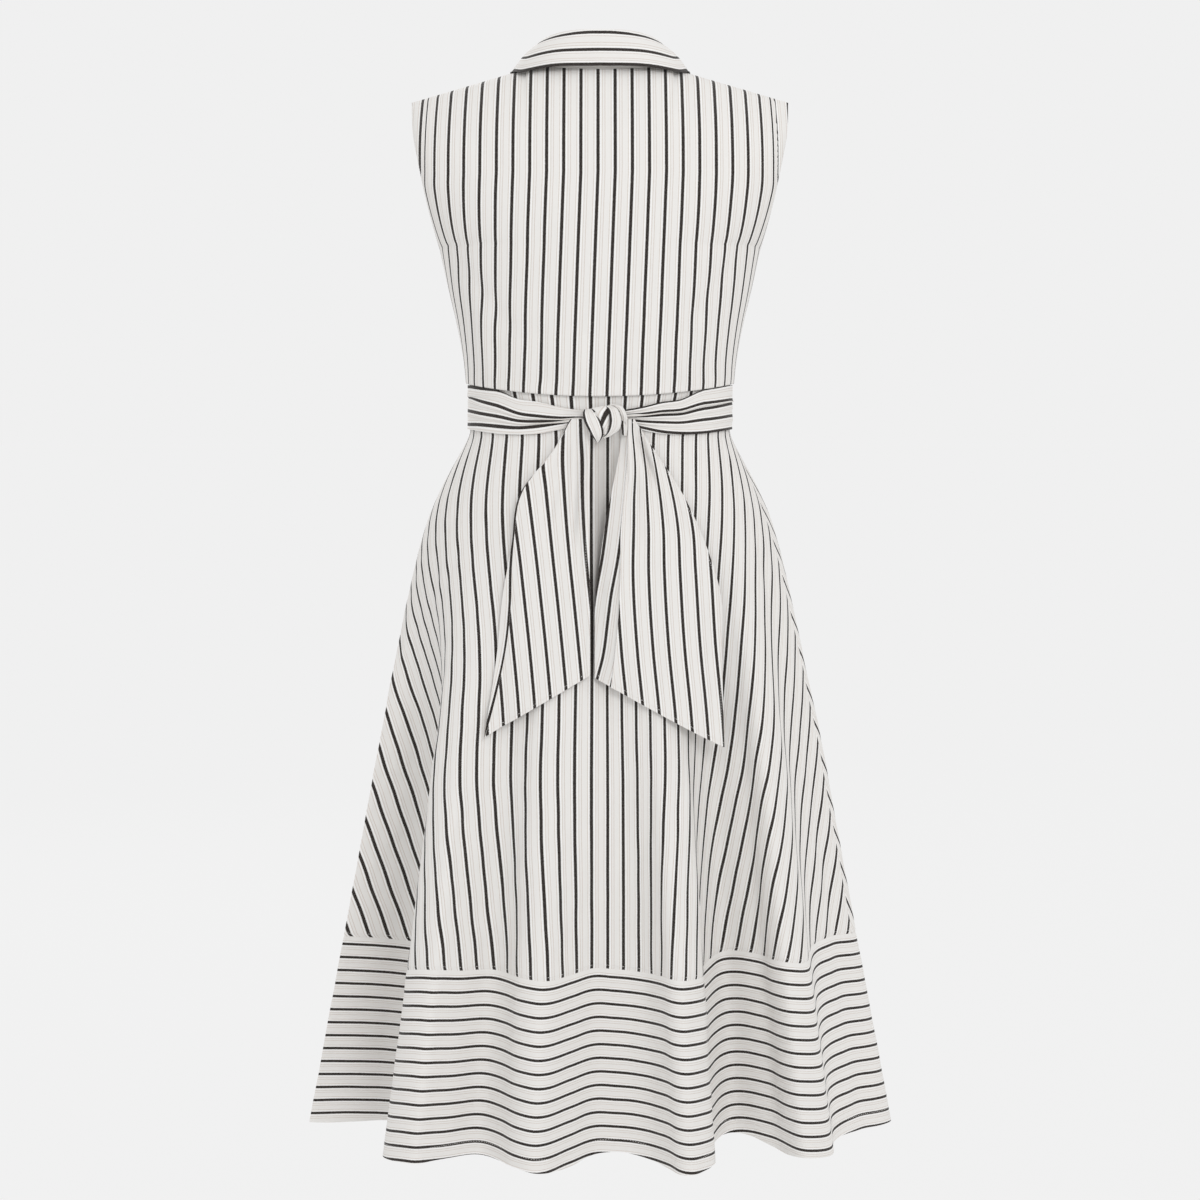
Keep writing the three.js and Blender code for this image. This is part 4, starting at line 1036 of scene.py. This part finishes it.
def buttonPlaces():
    places = []
    row = np.array([0.47, 0.5, 0.53])
    cross = standSurface(np.zeros(3), np.ones(3), row, np.full(3, stand["lap"]))
    places.append((cross[1], np.cross((-1.0, 0, 0), unit(cross[2] - cross[0]))))
    across = np.array([[0.0005, 0, -0.0005]])
    low = bodiceHem["sideZ"]
    for z in buttonAt["bodice"]:
        share = (z - low) / (bodiceTop(0.0, 1) - low)
        patch = bodicePlacket(across, share + np.array([[0.002], [0], [-0.002]]))
        places.append((patch[1, 1], gridNormals(patch)[1, 1]))
    for z in buttonAt["skirt"]:
        patch = skirtPlacket(across, z + np.array([[0.002], [0], [-0.002]]))
        places.append((patch[1, 1], gridNormals(patch)[1, 1]))
    return [(place, axis if axis[1] > 0 else -axis) for place, axis in places]


# Thread through the holes, and the worked buttonhole under each button.
def buttonSewing(place, axis, side, up, level):
    rows = []
    top = place + axis * (button["lift"] + 0.0016)
    reach = button["holesAt"] * 0.9
    for hand in (-1, 1):
        ends = [top + side * hand * button["holesAt"] * 0.7 + up * k * reach for k in (-1, 1)]
        rows.append((np.array(ends), np.array([axis, axis])))
    along, aside = (side, up) if level else (up, side)
    turn = np.linspace(0, 2 * np.pi, 49)
    loop = place + along * 0.0075 * np.cos(turn)[:, None] + aside * 0.0007 * np.sin(turn)[:, None]
    return rows, [(loop + axis * 0.0002, np.tile(axis, (49, 1)))]


def makeButtons():
    threads, loops = [], []
    faces = tubeFaces(46, 48)
    for k, (place, axis) in enumerate(buttonPlaces()):
        points, side, up = buttonPoints(place, axis)
        flat = np.zeros((points[..., 0].size, 2))
        number = f"{k + 1:02d}"
        node = "button_" + number
        addPiece("button" + number, points.reshape(-1, 3), faces, flat, pearl, "button", [node], 65)
        rows, loop = buttonSewing(place, axis, side, up, k == 0)
        threads += rows
        loops += loop
    stitches("buttonThread", threads, 0.0024, 0.0023)
    stitches("buttonholes", loops, 0.0011, 0.0012)


print("buttons")
makeButtons()


# Sash

sash = {"lift": 0.0026, "thick": 0.0005, "rows": 84, "columns": 320, "from": 0.011, "to": 0.992}
sashEdges = {
    "x": (0, 0.018, 0.040, 0.058, 0.078, 0.095, 0.132, 0.140),
    "top": (-0.332, -0.3298, -0.3262, -0.3218, -0.3188, -0.3112, -0.3052, -0.305),
    "bottom": (-0.343, -0.3438, -0.3485, -0.3520, -0.3530, -0.3525, -0.3484, -0.348),
}
# Four pleats run along it, which open out from the knot. At stations round the waist from the knot's right:
# x there, the first and last part of the cut that shows, the first pleat's place, and how much each hides.
sashPleats = {
    "station": (0.0, 0.022, 0.055, 0.10, 0.145, 0.20, 0.25, 0.50, 0.75, 0.80, 0.845, 0.885, 0.93, 0.972, 1.0),
    "upper": (2, 2, 2.5, 3, 3.5, 4, 4.5, 2, 2, 2, 2.5, 4, 6, 7, 7),
    "lower": (72, 71, 70, 69, 68, 68, 68, 62, 56, 56, 57, 57, 58, 59, 59),
    "place": (11, 11, 11, 11, 11, 11, 11, 12, 17.5, 15.5, 12.5, 11.5, 11, 11, 11),
    "first": (12, 11, 9, 6, 3, 1, 0.5, 3, 7.5, 7, 5, 3, 1, 2, 4),
    "second": (15, 14.5, 13.5, 12, 11, 11.5, 12.5, 5, 1, 3, 6.5, 9, 12, 13.5, 14),
    "third": (14, 13, 11, 8, 6, 4.5, 4, 5, 1.5, 4, 7.5, 9.5, 12.5, 14.5, 15),
    "fourth": (14, 13, 10, 6, 4, 3.5, 3.5, 3, 0.5, 1, 1, 1, 1, 2, 3),
}
pleat = {"halfWidth": 5.0, "depth": 1.9, "at": (0, 27, 43, 59)}


# Across the sash the cloth goes down less, or back up, in each pleat, and its depth makes an S there:
# the sum of bells gives the part hidden, and their slopes the depth.
def sashSection(station, share):
    upper, lower = (tableValue(sashPleats, name, station) for name in ("upper", "lower"))
    width = lerp(upper, lower, share)
    shrink, depth = 1 + 0 * width, 0 * width
    for k, name in enumerate(("first", "second", "third", "fourth")):
        middle = pleat["at"][k] if k else tableValue(sashPleats, "place", station)
        strength = tableValue(sashPleats, name, station) / (pleat["halfWidth"] * math.sqrt(math.pi))
        off = (width - middle) / pleat["halfWidth"]
        bell = strength * np.exp(-(off**2))
        shrink = shrink - bell
        depth = depth - pleat["depth"] * off * bell
    down = np.cumsum(shrink, axis=0) - shrink[:1]
    return width / 1000, down / down[-1:], depth / 1000


def makeSash():
    station = np.linspace(sash["from"], sash["to"], sash["columns"])[None, :]
    share = np.linspace(0, 1, sash["rows"])[:, None]
    width, down, depth = sashSection(station, share)
    ring = waistCurve(station)
    x = np.where(ring[..., 1] > 0, 0.14, np.abs(ring[..., 0]))
    side = np.sign(ring[..., 1])
    lip = np.where(side < 0, bodiceBottom(ring[..., 0] * 1.437, -1), bodiceBottom(ring[..., 0] * 1.437, 1))
    top = np.minimum(tableValue(sashEdges, "top", x), lip - 0.0024)
    bottom = tableValue(sashEdges, "bottom", x)
    z = lerp(top, bottom, down)
    grid = np.stack([ring[..., 0] + 0 * z, ring[..., 1] + 0 * z, z], axis=-1)
    step = 0.001
    tangent = unit(waistCurve(station + step) - waistCurve(station - step))
    outward = np.stack([tangent[..., 1], -tangent[..., 0], 0 * tangent[..., 0]], axis=-1)
    out = sash["lift"] + depth + unevenness(station * 0.7 + 0 * width, width, 0.0003, 17)
    grid = grid + outward * out[..., None]
    flat = np.stack([(width - 0.003) / 0.016, station * 0.72 + 0 * width], axis=-1)
    clothPiece("sashBand", grid, flat, sash["thick"], stands=["sash"])


print("sash")
makeSash()


# Sash ends

tail = {
    "drape": 0.070, "thick": 0.0012, "rows": 150, "marginColumns": 16, "columns": 66, "foldGap": 0.0001,
    "edgeFade": 0.0022, "ridgeFade": 0.016, "clear": 0.0014, "marginPitch": 0.0150, "stitchesAt": 0.004,
}
# The margin turned under: how far below the rest it starts, its slope away from the fold, the heights where
# it comes in, the ridge of the fold, and how far the outer edge curls in.
turnedUnder = {
    "left": {"under": 0.0024, "slope": 0.16, "starts": (0.40, 0.46), "ridge": 0.0, "edgeRoll": 0.0},
    "right": {"under": 0.0034, "slope": 0.42, "starts": (0.30, 0.31), "ridge": 0.0042, "edgeRoll": 0.0035},
}
leftTail = {
    "z": (-0.338, -0.351, -0.366, -0.409, -0.459, -0.510, -0.561, -0.610, -0.660),
    "x0": (-0.029, -0.035, -0.0435, -0.0765, -0.085, -0.094, -0.099, -0.106, -0.114),
    "x1": (-0.010, -0.0095, -0.0095, -0.0098, -0.0098, -0.0098, -0.0097, -0.0096, -0.0096),
    "off": (0.0078, 0.0065, 0.006, 0.006, 0.0065, 0.0065, 0.0055, 0.0045, 0.004),
}
rightTail = {
    "z": (-0.338, -0.351, -0.366, -0.409, -0.459, -0.510, -0.561, -0.610, -0.660),
    "x0": (0.022, 0.021, 0.020, 0.014, 0.006, 0.000, -0.0045, -0.005, -0.005),
    "x1": (0.033, 0.041, 0.051, 0.079, 0.102, 0.117, 0.118, 0.119, 0.1205),
    "off": (0.0085, 0.0075, 0.0072, 0.0072, 0.0075, 0.0070, 0.0062, 0.0050, 0.0045),
}
tailEnds = {"left": (-0.643, -0.583), "right": (-0.586, -0.654)}  # height of each end's two corners
# Folds that spread from the knot: x and z of both ends, half width, depth.
tailFolds = {
    "left": [
        (-0.0165, -0.336, -0.0205, -0.500, 0.0040, -0.0040),
        (-0.0230, -0.336, -0.0290, -0.470, 0.0042, 0.0034),
        (-0.0310, -0.342, -0.0560, -0.470, 0.0050, -0.0026),
        (-0.066, -0.400, -0.090, -0.640, 0.0100, 0.0026),
        (-0.036, -0.430, -0.044, -0.640, 0.0110, -0.0026),
        (-0.0115, -0.360, -0.0150, -0.590, 0.0045, 0.0026),
        (-0.048, -0.480, -0.062, -0.650, 0.0100, -0.0018),
    ],
    "right": [
        (0.0270, -0.338, 0.0330, -0.470, 0.0034, 0.0040),
        (0.0335, -0.342, 0.0560, -0.412, 0.0034, -0.0062),
        (0.0330, -0.380, 0.0400, -0.480, 0.0060, -0.0026),
        (0.0420, -0.348, 0.0740, -0.450, 0.0050, 0.0034),
        (0.0600, -0.372, 0.0960, -0.490, 0.0050, -0.0022),
        (0.0500, -0.440, 0.0560, -0.640, 0.0110, -0.0028),
        (0.0850, -0.450, 0.0920, -0.660, 0.0110, 0.0028),
        (0.1060, -0.490, 0.1090, -0.660, 0.0060, -0.0026),
        (0.0290, -0.480, 0.0320, -0.620, 0.0080, 0.0022),
    ],
}
# Stripes of the ends: where one black stripe runs, and the spacing.
leftStripe = {
    "z": (-0.70, -0.60, -0.581, -0.5095, -0.4713, -0.4048, -0.3765, -0.3526, -0.338),
    "x": (-0.0110, -0.0165, -0.0182, -0.0252, -0.0292, -0.0345, -0.0360, -0.0352, -0.0345),
    "pitch": (0.0157, 0.0157, 0.0157, 0.0158, 0.0159, 0.0175, 0.0188, 0.0168, 0.0157),
}
rightStripe = {
    "z": (-0.66, -0.619, -0.557, -0.481, -0.443, -0.414, -0.386, -0.348),
    "x": (0.0600, 0.0568, 0.0507, 0.0465, 0.0464, 0.0452, 0.0437, 0.0385),
    "pitch": (0.0152, 0.0152, 0.0152, 0.0150, 0.0142, 0.0126, 0.0100, 0.0075),
}
# A margin of each end is folded back: the fold's line, and a black stripe of the cloth beyond it.
leftMargin = {
    "z": (-0.66, -0.643, -0.601, -0.557, -0.519, -0.481, -0.444, -0.420, -0.338),
    "x": (-0.1165, -0.1105, -0.0985, -0.0895, -0.0855, -0.0845, -0.0815, -0.0785, -0.0270),
    "stripe": (-0.1185, -0.1125, -0.1003, -0.0908, -0.0868, -0.0858, -0.0824, -0.0790, -0.0270),
}
rightMargin = {
    "z": (-0.66, -0.589, -0.567, -0.530, -0.510, -0.470, -0.433, -0.380, -0.338),
    "x": (0.0100, 0.0160, 0.0175, 0.0190, 0.0195, 0.0198, 0.0225, 0.0262, 0.0270),
    "stripe": (-0.0140, -0.0033, 0.0024, 0.0075, 0.0100, 0.0172, 0.0220, 0.0270, 0.0300),
}


# How far back the skirt reaches, bridging its troughs as hanging cloth does: the furthest of its points,
# each lowered by the square of its distance along x.
def skirtReach(x, z):
    reach = np.zeros(x.shape)
    for at in np.linspace(-0.2, 0.2, 261):
        ring = skirtRing(np.full(z.shape, at), z)
        reach = np.maximum(reach, -ring[..., 1] - (ring[..., 0] - x) ** 2 / (2 * tail["drape"]))
    return reach


# The margin's columns and the rest meet in two close columns, with a step in depth and a turn of the
# stripes between them: the fold.
def makeTail(name, node, table, side, stripe, margin):
    row = np.linspace(0, 1, tail["rows"])[:, None]
    corners = tailEnds[side]
    level = lerp(table["z"][0], min(corners), row)
    x0, x1 = tableValue(table, "x0", level), tableValue(table, "x1", level)
    foldX = np.maximum(tableValue(margin, "x", level), x0 + 0.0008)
    inMargin = np.linspace(0, 1, tail["marginColumns"])[None, :]
    inRest = np.linspace(0, 1, tail["columns"])[None, :]
    gap = tail["foldGap"]
    x = np.concatenate([lerp(x0, foldX - gap, inMargin), lerp(foldX + gap, x1, inRest)], axis=1)
    share = (x - x0) / (x1 - x0)
    z = lerp(table["z"][0], lerp(corners[0], corners[1], share), row)
    behind = np.arange(x.shape[1])[None, :] < tail["marginColumns"]
    fromFold = np.where(behind, foldX - x, 0)
    fromEdge = np.minimum(x1 - x, 0.02)
    turned = turnedUnder[side]
    out = tableValue(table, "off", z) + creases(x, z, tailFolds[side]) + unevenness(x, z, 0.0004, 23)
    ridge = turned["ridge"] * np.exp(-np.maximum(x - foldX, 0) / tail["ridgeFade"])
    out = out + ridge * smoothStep(-z, 0.35, 0.42)
    under = turned["under"] * smoothStep(-z, *turned["starts"]) + fromFold * turned["slope"]
    rolled = turned["edgeRoll"] * np.exp(-fromEdge / tail["edgeFade"]) * smoothStep(-z, 0.35, 0.38)
    out = out - np.where(behind, under, 0) - rolled
    main = (x - tableValue(stripe, "x", z)) / tableValue(stripe, "pitch", z)
    strip = np.where(behind, (x - tableValue(margin, "stripe", z)) / tail["marginPitch"], main)
    y = -(skirtReach(x, z) + np.maximum(out, tail["clear"]) + tail["thick"])
    grid = np.stack([x, y, z], axis=-1)
    clothPiece(name, grid, np.stack([strip, z], axis=-1), tail["thick"], stands=[node])
    normals = gridNormals(grid)
    seams = [insetLine(grid, normals, edge, tail["stitchesAt"]) for edge in ("right", "bottom")]
    stitches(name + "Stitches", seams)


print("sash ends")
makeTail("sashEndLeft", "sash_tail_left", leftTail, "left", leftStripe, leftMargin)
makeTail("sashEndRight", "sash_tail_right", rightTail, "right", rightStripe, rightMargin)


# Knot: folded bands of cloth over a soft core. Each band is a table of rows in millimetres: x and z of its
# left and right edge, and how far it stands out from the waist.

knotBase = -0.1015
knotCore = {"middle": (0.0045, -0.1065, -0.3405), "half": (0.0160, 0.0042, 0.0115)}
knotBands = [
    {
        "rows": [
            (-15.3, -328.9, -6.7, -327.9, 2.0), (-16.4, -332.7, -2.9, -332.7, 7.0),
            (-15.3, -339.8, 1.2, -338.9, 10.5),
            (-11.9, -346.9, 3.6, -346.5, 12.0), (-8.1, -353.6, 3.5, -352.7, 11.5),
            (-4.8, -357.9, 1.0, -357.4, 9.5),
            (-3.3, -360.3, -1.4, -360.1, 7.5),
        ],
        "thick": 4.2, "repeats": 1.20, "phase": -0.085, "skew": 0.0,
    },
    {
        "rows": [
            (3.6, -325.6, 11.9, -324.6, 2.5), (6.9, -327.9, 16.7, -328.4, 9.5),
            (8.4, -332.2, 19.8, -335.7, 13.0),
            (9.1, -338.9, 20.3, -341.7, 14.5), (8.1, -346.5, 18.0, -348.4, 13.5),
            (5.7, -352.6, 11.0, -353.6, 11.5),
            (2.9, -355.0, 4.3, -356.4, 9.5),
        ],
        "thick": 5.0, "repeats": 0.80, "phase": -0.07, "skew": 0.0,
    },
    {
        "rows": [
            (-8.5, -327.6, 5.5, -325.2, 4.5), (-4.5, -330.6, 8.6, -329.6, 9.5),
            (-0.5, -337.9, 9.2, -337.9, 12.0),
            (1.8, -345.5, 8.8, -345.5, 11.5), (3.0, -352.2, 6.7, -352.2, 10.0),
        ],
        "thick": 2.8, "repeats": 0.40, "phase": -0.60, "skew": 0.9,
    },
    {
        "rows": [
            (7.2, -324.6, 13.8, -323.5, 1.0), (13.8, -325.6, 21.0, -326.0, 6.0),
            (17.7, -329.3, 24.8, -331.7, 7.0),
            (19.6, -334.1, 26.3, -337.9, 6.5), (20.5, -338.9, 25.8, -342.7, 4.0),
        ],
        "thick": 3.2, "repeats": 0.50, "phase": 0.24, "skew": 0.0,
    },
    {
        "rows": [
            (18.6, -338.5, 26.4, -338.0, 2.5), (19.6, -346.0, 26.6, -346.5, 2.0),
            (20.8, -353.0, 25.6, -354.5, 0.5),
        ],
        "thick": 1.8, "repeats": 0.55, "phase": -0.14, "skew": 0.0,
    },
]


# A band's surface: across it the front swells out between its edges, with a low pleat along it, and the
# back lies flat: sine and cosine of the angle round its section, raised to a low power.
def knotBand(band):
    keys = np.arange(len(band["rows"]))
    at = np.linspace(0, keys[-1], 44)
    leftX, leftZ, rightX, rightZ, out = (smoothCurve(keys, column, at) for column in np.array(band["rows"]).T)
    turn = (np.arange(44) * 2 * np.pi / 44)[None, :]
    cosine, sine = np.cos(turn), np.sin(turn)
    share = 0.5 + 0.5 * np.sign(cosine) * np.abs(cosine) ** 0.9
    half = (np.hypot(rightX - leftX, rightZ - leftZ) / 2)[:, None]
    thick = band["thick"] * np.minimum(1, half / 3.5)
    pleats = 1 + 0.13 * np.cos(share * 5.2 * np.pi + band["phase"] * 20)
    swell = thick * np.where(sine > 0, sine**0.75 * pleats, -0.5 * np.abs(sine))
    x = lerp(leftX[:, None], rightX[:, None], share)
    z = lerp(leftZ[:, None], rightZ[:, None], share)
    y = knotBase * 1000 - out[:, None] + thick - swell
    grid = np.stack([x, y, z], axis=-1) / 1000
    run = np.concatenate([[0], np.cumsum(np.linalg.norm(np.diff(grid[:, 0], axis=0), axis=1))])[:, None]
    repeats = share * band["repeats"] + band["phase"] + band["skew"] * np.linspace(0, 1, 44)[:, None]
    flat = np.stack([repeats, run + 0 * share], axis=-1)
    return grid, flat


def knotCoreGrid():
    lift = np.linspace(0.02, 0.98, 24)[:, None] * np.pi
    turn = (np.arange(32) * 2 * np.pi / 32)[None, :]
    ball = np.stack([np.sin(lift) * np.cos(turn), np.sin(lift) * np.sin(turn), np.cos(lift) + 0 * turn], axis=-1)
    grid = knotCore["middle"] + ball * knotCore["half"]
    return grid, np.stack([0.5 + ball[..., 0] * 0.3, ball[..., 2] * 0.02], axis=-1)


def makeKnot():
    points, faces, flats = [], [], []
    for grid, flat in [knotCoreGrid(), *map(knotBand, knotBands)]:
        mine = tubeFaces(*grid.shape[:2])
        flatPoints = grid.reshape(-1, 3)
        if signedVolume(flatPoints - flatPoints.mean(axis=0), mine) < 0:
            mine = mine[:, ::-1]
        faces.append(mine + sum(map(len, points)))
        points.append(flatPoints)
        flats.append(flat.reshape(-1, 2))
    joined = [np.concatenate(part) for part in (points, faces, flats)]
    addPiece("sashKnot", *joined, cotton, "striped_cotton", ["sash_knot"], 70)


print("knot")
makeKnot()
